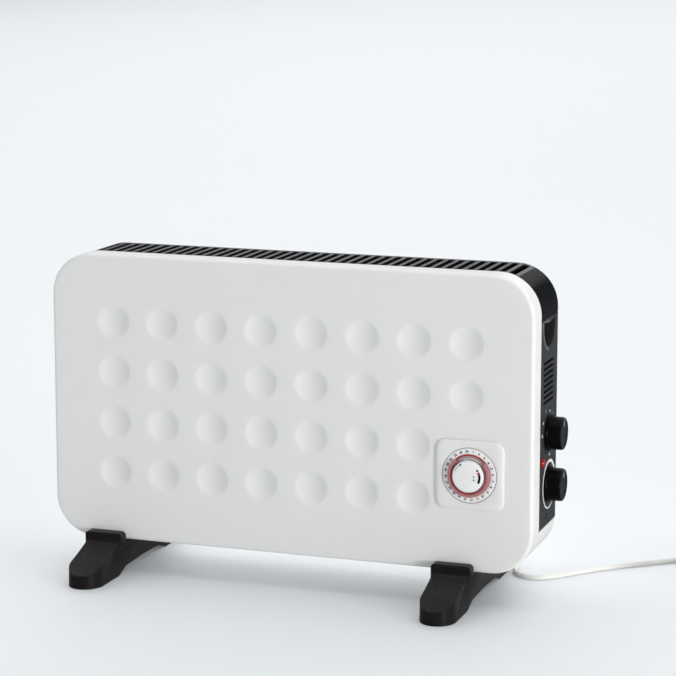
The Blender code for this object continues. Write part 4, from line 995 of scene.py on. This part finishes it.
def screw_face(name, axis, centre, start, way, radius, look):
    """A cross-recessed pan head, with a shank behind it."""
    bm = bmesh.new()
    profile = []
    for i in range(5):
        angle = math.pi / 2 * i / 4
        profile.append((radius * (0.35 + 0.65 * math.sin(angle)), 0.0012 * (1 - math.cos(angle))))
    profile += [(radius, 0.0019), (0.0018, 0.0020), (0.0018, 0.012)]
    turned(bm, axis, centre, [(r, start + way * depth) for r, depth in profile], 40)
    made = piece(f"{name}_head", bm, look, stands_for=[name])

    def cross(bm):
        arm, thick = radius * 0.55, radius * 0.11
        corners = ((arm, thick), (thick, thick), (thick, arm))
        outline = [*corners, *[(-u, v) for u, v in reversed(corners)]]
        outline += [(-u, -v) for u, v in corners]
        outline += [(u, -v) for u, v in reversed(corners)]
        outline = [(centre[0] + u, centre[1] + v) for u, v in outline]
        prism(bm, axis, outline, start - way * 0.001, start + way * 0.0011)

    carve(made, (cross,))


def screws(look):
    for name in sorted(frame["nodes"]):
        if "screw" not in name:
            continue
        low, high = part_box(name)
        middle = (low + high) / 2
        if name.startswith("foot"):
            screw_face(name, "Z", (middle.x, middle.y), low.z, 1, 0.0040, look)
        elif name.startswith("rear"):
            screw_face(name, "Y", (middle.x, middle.z), high.y, -1, 0.0035, look)
        elif name.endswith("right"):
            screw_face(name, "X", (middle.y, middle.z), high.x, -1, 0.0029, look)
        else:
            screw_face(name, "X", (middle.y, middle.z), low.x, 1, 0.0029, look)


# ---------------- side controls


def knob(name, body, centre, look):
    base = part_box(name)[0].x
    foot_part = ((0.0032, 0.0120), (0.0032, 0), (0.0211, 0), (0.0215, 0.0004), (0.0215, 0.0016))
    foot_part += ((0.0211, 0.0021), (0.0200, 0.0024), (0.01955, 0.0028), (0.01945, 0.0034))
    grip_part = ((0.0192, 0.0034), (0.0190, 0.0018), (0.0183, 0.0007), (0.0170, 0.0001), (0.0155, 0))
    grip_part += ((0.0148, 0.0003), (0.0140, 0.0008), (0.0060, 0.0011), (0.0010, 0.0011))
    profile = [(radius, base + out) for radius, out in foot_part]
    profile += [(radius, KNOB_TIP - back) for radius, back in grip_part]
    bm = bmesh.new()
    turned(bm, "X", (centre.y, centre.z), profile, 96)
    made = piece(f"{name}_moulding", bm, look["knob"], body, [name], 30)
    # The outer face takes a lighter copy of the knob's black: painted sheen on the textured face.
    recolour(made, look["knob_face_painted_sheen"], lambda c, n: n.x > 0.6 and c.x > KNOB_TIP - 0.003)

    bm = bmesh.new()
    low, high = (centre.y - 0.0007, centre.z + 0.0085), (centre.y + 0.0007, centre.z + 0.0180)
    prism(bm, "X", rounded_loop(low, high, 0.0006, (4, 8), 1), KNOB_TIP - 0.0016, KNOB_TIP)
    pointer = piece(f"{name}_pointer", bm, look["print_grey"], body)
    soften(pointer, 0.0002, 2)


def tapered_print(bm, centre, x, thickness, outer, widths, first, last):
    """A thin printed arc that widens inwards, in degrees clockwise from the top as seen from outside."""
    steps = 72
    rows = []
    for i in range(steps + 1):
        share = i / steps
        angle = math.radians(first + (last - first) * share)
        inside = outer - widths[0] - (widths[1] - widths[0]) * share
        points = []
        for radius, along in ((inside, x), (outer, x), (outer, x + thickness), (inside, x + thickness)):
            points.append((along, centre.y + radius * math.sin(angle), centre.z + radius * math.cos(angle)))
        rows.append(points)
    skin(bm, rows)


def scale_plates(look):
    """A glossy plate behind each knob."""
    back, front = PLATE_LAYER
    for name, middle, radius in (("selector", SELECTOR, 0.0268), ("thermostat", THERMOSTAT, 0.0250)):
        bm = bmesh.new()
        profile = [(0.0040, back), (radius, back), (radius + 0.0002, SIDE_X + 0.0002)]
        profile += [(radius, front), (0.0040, front)]
        turned(bm, "X", (middle.y, middle.z), profile, 96, closed=True)
        piece(f"{name}_scale_plate", bm, look)


def thermostat_scale(look):
    bm = bmesh.new()
    tapered_print(bm, THERMOSTAT, PLATE_LAYER[0], 0.0002, 0.0292, (0.0010, 0.0040), -215, 60)
    piece("thermostat_scale", bm, look)


def selector_symbols(look):
    """The marks of the settings round the selector, and a pointer above and below the knob."""
    back, front = PLATE_LAYER
    bm = bmesh.new()
    for count, turn in ((1, -32), (2, -60), (3, -86)):
        angle = math.radians(turn)
        centre = (SELECTOR.y + 0.034 * math.sin(angle), SELECTOR.z + 0.034 * math.cos(angle))
        symbol(bm, centre, back, count)
    for way in (-1, 1):
        root, tip = SELECTOR.z + way * 0.0268, SELECTOR.z + way * 0.0236
        outline = [(SELECTOR.y - 0.0020, root), (SELECTOR.y + 0.0020, root), (SELECTOR.y, tip)]
        prism(bm, "X", outline, front, front + 0.0001)
    piece("selector_symbols", bm, look)


def pilot_lamp(look):
    low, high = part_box("pilot_lamp")
    middle = (low + high) / 2
    seat = SIDE_X + GAP
    profile = [(0.0044, low.x), (0.0044, seat), (0.0053, seat)]
    profile += [(0.0054, seat + 0.0003), (0.0052, seat + 0.0008)]
    for i in range(1, 9):
        angle = math.pi / 2 * i / 9
        profile.append((0.0048 * math.cos(angle), seat + 0.0008 + 0.0024 * math.sin(angle)))
    bm = bmesh.new()
    turned(bm, "X", (middle.y, middle.z), profile, 48)
    piece("pilot_lamp_lens", bm, look, stands_for=["pilot_lamp"])


def symbol(bm, centre, x, count):
    """A small generic setting mark of one to three bars."""
    for i in range(count):
        y = centre[0] + (i - (count - 1) / 2) * 0.0016
        low, high = centre[1] - 0.0018, centre[1] + 0.0018
        outline = [(y - 0.0004, low), (y + 0.0004, low), (y + 0.0004, high), (y - 0.0004, high)]
        prism(bm, "X", outline, x, x + 0.0001)


# ---------------- timer


def dial_point(radius, degrees, y):
    """A point round the timer, in degrees clockwise from the top as seen from the front."""
    angle = math.radians(degrees)
    return TIMER.x + radius * math.sin(angle), y, TIMER.z + radius * math.cos(angle)


def timer_distance(point):
    return math.hypot(point.x - TIMER.x, point.z - TIMER.z)


def arc_block(bm, inner, outer, first, last, back, front, steps):
    section = ((inner, back), (outer, back), (outer, front), (inner, front))
    rows = []
    for i in range(steps + 1):
        degrees = first + (last - first) * i / steps
        rows.append([dial_point(radius, degrees, y) for radius, y in section])
    skin(bm, rows)


def timer_bezel(look):
    low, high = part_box("timer_bezel")
    half = (high.x - low.x) / 2
    front = low.y
    border = circle((0, 0), 1, 144, math.radians(-135))

    def square(inset):
        corner = max(0.012 - inset * 0.6, 0.006)
        loop = rounded_loop((inset - half, inset - half), (half - inset, half - inset), corner, (40, 40), 8)
        return towards(border, (0, 0), loop)

    rise = (
        (0.0002, FACE_Y - GAP), (0.0, FACE_Y - 0.0008), (0.0002, FACE_Y - 0.0014),
        (0.0008, FACE_Y - 0.0020), (0.0018, FACE_Y - 0.0025), (0.0030, FACE_Y - 0.0029),
        (0.0042, front + 0.0002), (0.0054, front),
    )
    rows = [[(TIMER.x + u, y, TIMER.z + v) for u, v in square(inset)] for inset, y in rise]
    for radius, y in (
        (DIAL_RADIUS + 0.0011, front), (DIAL_RADIUS + 0.0008, front + 0.0001),
        (DIAL_RADIUS + 0.0006, front + 0.0004), (DIAL_RADIUS + 0.0006, FACE_Y - GAP),
    ):
        rows.append([(TIMER.x + radius * u, y, TIMER.z + radius * v) for u, v in border])
    rows.append(rows[0])
    bm = bmesh.new()
    skin(bm, rows, caps=(False, False))
    piece("timer_bezel_moulding", bm, look, stands_for=["timer_bezel"], sharp=50)


def timer_dial(look):
    inner, outer = TAPPET_RADII
    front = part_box("timer_dial")[0].y
    groove = FACE_Y + 0.0045
    back = FACE_Y + 0.0060
    profile = (
        (DIAL_RADIUS, front + 0.0004), (DIAL_RADIUS - 0.0003, front + 0.0001),
        (DIAL_RADIUS - 0.0007, front), (outer + 0.0009, front), (outer + 0.0006, front + 0.0001),
        (outer + 0.0003, front + 0.0004), (outer + 0.0003, groove), (inner - 0.0003, groove),
        (inner - 0.0003, front), (inner - 0.0010, front), (inner - 0.0011, back),
        (outer + 0.0013, back), (outer + 0.0013, FACE_Y - 0.0006), (DIAL_RADIUS, FACE_Y - 0.0006),
    )
    bm = bmesh.new()
    turned(bm, "Y", (TIMER.x, TIMER.z), profile, 144, closed=True)
    piece("timer_dial_ring", bm, look["dial"], "timer_dial", ["timer_dial"], 40)
    dial_seal(front, look["painted_shade"])
    dial_ticks(front, look["print_grey"])
    for hour in range(1, 25):
        numeral(hour, HOUR_ZERO + 4 * TAPPET_STEP * hour, front, look["print"])


def dial_seal(front, look):
    """A near-black ring in the gap between the dial and the bezel: painted shade."""
    bm = bmesh.new()
    corners = ((0.0319, 0.0005), (0.0326, 0.0005), (0.0326, 0.0012), (0.0319, 0.0012))
    gap_shade = [(radius, front + back) for radius, back in corners]
    turned(bm, "Y", (TIMER.x, TIMER.z), gap_shade, 96, closed=True)
    piece("timer_dial_gap_painted_shade", bm, look)


def dial_ticks(front, look):
    bm = bmesh.new()
    half = math.degrees(0.00012 / 0.031)
    for i in range(round(360 / TAPPET_STEP)):
        degrees = HOUR_ZERO + i * TAPPET_STEP
        length = 0.0016 if i % 4 == 0 else 0.0008
        arc_block(bm, 0.0314 - length, 0.0314, degrees - half, degrees + half, front, front - 0.00005, 1)
    piece("timer_dial_ticks", bm, look, "timer_dial")


def numeral(hour, degrees, front, look):
    """The hour as a thin raised print, its foot towards the dial's centre."""
    curve = bpy.data.curves.new(f"hour_{hour}", "FONT")
    curve.body = str(hour)
    curve.size = 0.0037
    curve.offset = 0.00017
    curve.align_x = "CENTER"
    curve.align_y = "CENTER"
    curve.extrude = 0.00003
    curve.resolution_u = 3
    text = placed(f"hour_{hour}", curve)
    graph = bpy.context.evaluated_depsgraph_get()
    mesh = bpy.data.meshes.new_from_object(text.evaluated_get(graph))
    bpy.data.objects.remove(text)
    place = Vector(dial_point(0.0281, degrees, front - 0.00004))
    stand = Matrix.Rotation(math.radians(90), 4, "X")
    turn = Matrix.Rotation(math.radians(degrees), 4, "Y")
    mesh.transform(Matrix.Translation(place) @ turn @ stand)
    made = placed(f"timer_hour_{hour}", mesh)
    mesh.materials.clear()
    mesh.materials.append(look)
    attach(made, "timer_dial")


def tappets(node, body, first, last, look, edge, shade_radii):
    """A row of tappets; their faces between the given radii are painted dark red for the shade in the groove
    and the gaps: painted shade.
    """
    low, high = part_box(node)
    inner, outer = TAPPET_RADII
    count = round((last - first) / TAPPET_STEP)
    step = (last - first) / count
    gap = math.degrees(0.00010 / outer)
    bm = bmesh.new()
    for i in range(count):
        a, b = first + i * step + gap, first + (i + 1) * step - gap
        rows = []
        for degrees in (a, (a + b) / 2, b):
            section = (
                (inner, high.y), (outer, high.y), (outer, low.y + 0.0003), (outer - 0.0003, low.y),
                (outer - 0.0022, low.y), (inner + 0.0013, low.y), (inner + 0.0010, low.y + 0.0007),
                (inner, low.y + 0.0009),
            )
            rows.append([dial_point(r, degrees, y) for r, y in section])
        skin(bm, rows)
    made = piece(f"{node}_row", bm, look, body, [node], 30)
    recolour(made, edge, lambda c, n: shade_radii[0] < timer_distance(c) < shade_radii[1])


def timer_cap(look):
    low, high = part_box("timer_centre_cap")
    front, back = low.y, high.y
    profile = (
        (0.0004, back), (CAP_RADIUS - 0.0002, back), (CAP_RADIUS, back - 0.0004),
        (CAP_RADIUS - 0.0001, front + 0.0016), (CAP_RADIUS - 0.0004, front + 0.0007),
        (CAP_RADIUS - 0.0011, front + 0.0002), (CAP_RADIUS - 0.0019, front), (0.0004, front),
    )
    bm = bmesh.new()
    turned(bm, "Y", (TIMER.x, TIMER.z), profile, 128)
    made = piece("timer_cap_disc", bm, look["dial"], stands_for=["timer_centre_cap"])

    def slot(bm):
        radii = (OVERRIDE_RADIUS - 0.0014, OVERRIDE_RADIUS + 0.0014)
        arc_block(bm, *radii, *OVERRIDE_SLOT, back + 0.001, front - 0.002, 12)

    carve(made, (slot,))
    # The slot's walls are painted near-black for the shade in the slot: painted shade.
    recolour(made, look["painted_shade"], lambda c, n: abs(n.y) < 0.5 and 0.0120 < timer_distance(c) < 0.0165)

    # A near-black floor in the slot, standing for the shade in it: painted shade.
    bm = bmesh.new()
    radii = (OVERRIDE_RADIUS - 0.0013, OVERRIDE_RADIUS + 0.0013)
    arc_block(bm, *radii, OVERRIDE_SLOT[0] + 1, OVERRIDE_SLOT[1] - 1, front + 0.0035, front + 0.0030, 12)
    piece("timer_cap_slot_painted_shade", bm, look["painted_shade"])

    layer = [front - out for out in PRINT_LAYER]

    def printed_dot(bm, distance, degrees, radius, segments):
        spot = Vector(dial_point(distance, degrees, 0))
        turned(bm, "Y", (spot.x, spot.z), [(radius, y) for y in layer], segments)

    bm = bmesh.new()
    arc_block(bm, 0.0158, 0.0163, -69, -33, *layer, 12)
    arrow = ((0.0148, -35), (0.0174, -35), (0.0162, -24))
    skin(bm, [[dial_point(radius, degrees, y) for radius, degrees in arrow] for y in layer])
    printed_dot(bm, OVERRIDE_RADIUS, 55, 0.0013, 24)
    piece("timer_cap_marks", bm, look["print"])

    bm = bmesh.new()
    printed_dot(bm, 0.0074, 86, 0.0011, 20)
    printed_dot(bm, 0.0082, 112, 0.0011, 20)
    piece("timer_cap_symbols", bm, look["print_grey"])


def override_lever(look):
    low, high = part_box("timer_override_lever")
    front, back = low.y, high.y
    bm = bmesh.new()
    middle = Vector(dial_point(OVERRIDE_RADIUS - 0.0001, 73, 0))
    corners = ((-0.0011, 78), (0.0009, 78), (0.0009, 68), (-0.0011, 68))
    levels = ((back - 0.0015, 0.0), (front + 0.0004, 0.0), (front + 0.0001, -0.0002), (front, -0.0005))
    rows = []
    for y, grow in levels:
        rows.append([])
        for out, degrees in corners:
            away = Vector(dial_point(OVERRIDE_RADIUS + out, degrees, 0)) - middle
            point = middle + away + away.normalized() * grow
            rows[-1].append((point.x, y, point.z))
    skin(bm, rows)
    bore = 0.0066
    ring = ((bore, back), (0.0095, back), (0.0095, back - 0.0024), (bore, back - 0.0024))
    turned(bm, "Y", (TIMER.x, TIMER.z), ring, 48, closed=True)
    arc_block(bm, 0.0090, OVERRIDE_RADIUS + 0.0008, 69, 77, back - 0.0002, back - 0.0022, 2)
    piece("timer_lever_moulding", bm, look, "override_lever", ["timer_override_lever"])


# ---------------- cord


def spline(points, step):
    known = [Vector(p) for p in points]
    known = [2 * known[0] - known[1], *known, 2 * known[-1] - known[-2]]
    fine = []
    for a, b, c, d in zip(known, known[1:], known[2:], known[3:]):
        for i in range(20):
            t = i / 20
            point = 2 * b + (c - a) * t + (2 * a - 5 * b + 4 * c - d) * t**2
            fine.append((point + (3 * b - a - 3 * c + d) * t**3) / 2)
    fine.append(known[-2])
    total = sum((b - a).length for a, b in zip(fine, fine[1:]))
    count = round(total / step)
    kept = [fine[0]]
    walked = 0.0
    for a, b in zip(fine, fine[1:]):
        walked += (b - a).length
        if walked >= total * len(kept) / count and len(kept) < count:
            kept.append(b)
    return [*kept, fine[-1]]


def coil_points():
    """The wound cord: three turns on the floor from the outside in, then the rest on top of them."""
    d = CORD_DIAMETER * 1.005
    stations = (
        (0.00, 1.0, 0.0), (0.85, 1.0, 0.0), (1.00, 0.0, 0.0), (1.85, 0.0, 0.0), (2.00, -1.0, 0.0),
        (2.80, -1.0, 0.0), (3.00, -0.5, 0.87), (3.80, -0.5, 0.87), (3.95, 0.5, 0.87),
        (COIL_TURNS, 0.5, 0.87),
    )
    points = []
    for i in range(int(COIL_TURNS * COIL_STEPS) + 1):
        turns = i / COIL_STEPS
        for (t0, a0, h0), (t1, a1, h1) in zip(stations, stations[1:]):
            if t0 <= turns <= t1:
                share = (turns - t0) / (t1 - t0)
                share = share * share * (3 - 2 * share)
                offset, height = a0 + (a1 - a0) * share, h0 + (h1 - h0) * share
                break
        radius = COIL_RADIUS + offset * d
        angle = math.radians(COIL_START) - 2 * math.pi * turns
        x = COIL_CENTRE[0] + radius * math.cos(angle)
        y = COIL_CENTRE[1] + radius * math.sin(angle)
        points.append((x, y, CORD_FLOOR + height * d))
    return points


def cord(look):
    coil = coil_points()
    last = Vector(coil[-1])
    tail_end = PLUG_HIGH.y
    tail = [
        (PLUG_X, last.y - 0.010, last.z + 0.0010), (PLUG_X, tail_end + 0.0210, 0.0135),
        (PLUG_X, tail_end + 0.0120, 0.0178), (PLUG_X, tail_end + 0.0050, PLUG_Z),
        (PLUG_X, tail_end - 0.0010, PLUG_Z),
    ]
    route = spline(CORD_ROUTE, 0.008) + [Vector(p) for p in coil[1:]] + spline([coil[-1], *tail], 0.006)[1:]
    kept = [route[0]]
    for point in route[1:]:
        if (point - kept[-1]).length > CORD_STEP:
            kept.append(point)
    curve = bpy.data.curves.new("mains_cord", "CURVE")
    curve.dimensions = "3D"
    curve.bevel_depth = CORD_DIAMETER / 2
    curve.bevel_resolution = 5
    curve.use_fill_caps = True
    run = curve.splines.new("POLY")
    run.points.add(len(kept) - 1)
    for place, point in zip(run.points, kept):
        place.co = (*point, 1)
    made = placed("mains_cord", curve)
    curve.materials.append(look["cord"])
    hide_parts("power_cord", "power_cord_coil", "power_cord_tail")
    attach(made, "heater")
    pieces = [plug(look["cord"]), *pins(look["brass"]), tie(look["black"])]


def gland(look):
    bm = bmesh.new()
    tip = CORD_EXIT[1] - GAP
    profile = [(0.0033, REAR_Y - 0.006), (0.0088, REAR_Y - 0.006), (0.0088, REAR_Y - STEEL - GAP)]
    profile += [(0.0060, REAR_Y - STEEL - GAP), (0.0060, REAR_Y + GAP), (0.0084, REAR_Y + GAP)]
    collar = ((0.0086, 0.0006), (0.0086, 0.0022), (0.0082, 0.0028), (0.0068, 0.0034))
    profile += [(radius, REAR_Y + out) for radius, out in collar]
    start, ribs = REAR_Y + 0.0040, 6
    length = (tip - start) / ribs
    for i in range(ribs):
        radius = 0.0066 - 0.0022 * i / (ribs - 1)
        y = start + length * i
        profile += [(radius, y), (radius, y + length * 0.55)]
        profile += [(radius - 0.0011, y + length * 0.65), (radius - 0.0011, y + length * 0.92)]
    profile += [(0.0042, tip), (0.0033, tip)]
    turned(bm, "Y", (CORD_EXIT[0], CORD_EXIT[2]), profile, 48)
    piece("cord_strain_relief", bm, look, stands_for=["cord_gland"], sharp=50)


def plug(look):
    """The plug, as radii with their distance from the end where the cord leaves."""
    profile = [(0.0033, 0), (0.0046, 0.0003)]
    for i in range(5):
        along = 0.002 + 0.0034 * i
        radius = 0.0048 + 0.0005 * i
        profile += [(radius, along), (radius, along + 0.0018)]
        profile += [(radius - 0.0010, along + 0.0022), (radius - 0.0010, along + 0.0031)]
    profile += [(0.0085, 0.0210), (0.0122, 0.0240), (0.0155, 0.0290), (0.0168, 0.0340), (0.0162, 0.0380)]
    profile += [(0.0170, 0.0410), (0.0183, 0.0430), (0.0185, 0.0445), (0.0185, 0.0535), (0.0181, 0.0552)]
    profile += [(0.0172, 0.0560), (0.0165, 0.0560), (0.0160, 0.0550), (0.0010, 0.0548)]
    bm = bmesh.new()
    turned(bm, "Y", (PLUG_X, PLUG_Z), [(radius, PLUG_HIGH.y - along) for radius, along in profile], 64)
    return piece("plug_moulding", bm, look, stands_for=["plug_body"], sharp=45)


def pins(look):
    made = []
    for i in (1, 2):
        node = f"plug_pin_{i}"
        low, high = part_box(node)
        middle = (low + high) / 2
        radius = (high.x - low.x) / 2
        profile = [(radius, high.y), (radius, low.y + 0.0022), (radius * 0.96, low.y + 0.0014)]
        profile += [(radius * 0.80, low.y + 0.0006), (radius * 0.5, low.y + 0.0001), (radius * 0.1, low.y)]
        bm = bmesh.new()
        turned(bm, "Y", (middle.x, middle.z), profile, 32)
        made.append(piece(f"{node}_metal", bm, look, stands_for=[node]))
    return made


def tie(look):
    """A wire tie round the coil: a flat strap with rounded corners."""
    reach = 1.5 * CORD_DIAMETER + 0.0010
    inner, outer = COIL_RADIUS - reach, COIL_RADIUS + reach
    low, high = 0.0002, 0.0138
    loops = []
    for grow in (0.0, -0.0008):
        corners = (inner - grow, low - grow), (outer + grow, high + grow)
        loops.append(rounded_loop(*corners, 0.0035, (12, 12), 4))
    turn = math.radians(250)
    away = Vector((math.cos(turn), math.sin(turn), 0))
    across = Vector((-math.sin(turn), math.cos(turn), 0))
    centre = Vector((*COIL_CENTRE, 0))

    def place(u, v, w):
        return centre + away * u + across * w + Vector((0, 0, v))

    rows = []
    for (a, b), (c, d) in zip(*loops):
        rows.append([place(a, b, -0.0022), place(a, b, 0.0022), place(c, d, 0.0022), place(c, d, -0.0022)])
    bm = bmesh.new()
    skin(bm, [*rows, rows[0]], caps=(False, False))
    return piece("cord_tie_strap", bm, look, stands_for=["cord_tie"], sharp=50)


# ---------------- works inside


def works(look):
    """The nodes inside keep their CAD shapes and get a look."""
    given = {
        "zinc": "selector_shaft thermostat_shaft timer_motor heater_frame heat_shield "
        "fan_bracket fan_motor",
        "works": "selector_switch thermal_cutout",
        "mica": "thermostat_body mica_support_1 mica_support_2 mica_support_3",
        "wire": "heating_coil_front heating_coil_rear",
        "white": "timer_housing terminal_block",
        "black": "fan_impeller",
    }
    for name, nodes in given.items():
        for node in nodes.split():
            mesh = frame["nodes"][node].data
            mesh.materials.clear()
            mesh.materials.append(look[name])


def main():
    camera()
    stage()
    look = looks()
    cord(look)
    gland(look["cord"])
    front_panel(look["enamel"], look["painted_shade"])
    top_grille(look)
    rear_shell(look["enamel"], look["painted_shade"])
    side_panel("side_moulding_right", 1, look, "control_side_panel", True)
    side_panel("side_moulding_left", -1, look, "plain_side_panel", False)
    for side in ("left", "right"):
        for end in ("front", "rear"):
            foot(side, end, look["foot"])
    screws(look["zinc"])
    knob("selector_knob", "selector", SELECTOR, look)
    knob("thermostat_knob", "thermostat", THERMOSTAT, look)
    scale_plates(look["gloss"])
    thermostat_scale(look["print_white"])
    selector_symbols(look["print_white"])
    pilot_lamp(look["lens"])
    timer_bezel(look["white"])
    timer_dial(look)
    # The pressed tappets take a greyed copy of the red for where they sit down in the groove, and each row
    # has a band of dark red for the shade in the groove and gaps: painted shade.
    pressed, raised = (*PRESSED, look["tappet_pressed_painted_shade"]), (PRESSED[1], PRESSED[0] + 360, look["tappet"])
    tappets("timer_tappets_pressed", "tappets_pressed", *pressed, look["tappet_painted_shade"], (0.0222, 0.026))
    tappets("timer_tappets_raised", "tappets_raised", *raised, look["tappet_painted_shade"], (0.020, 0.0215))
    timer_cap(look)
    override_lever(look["lever"])
    works(look)


main()
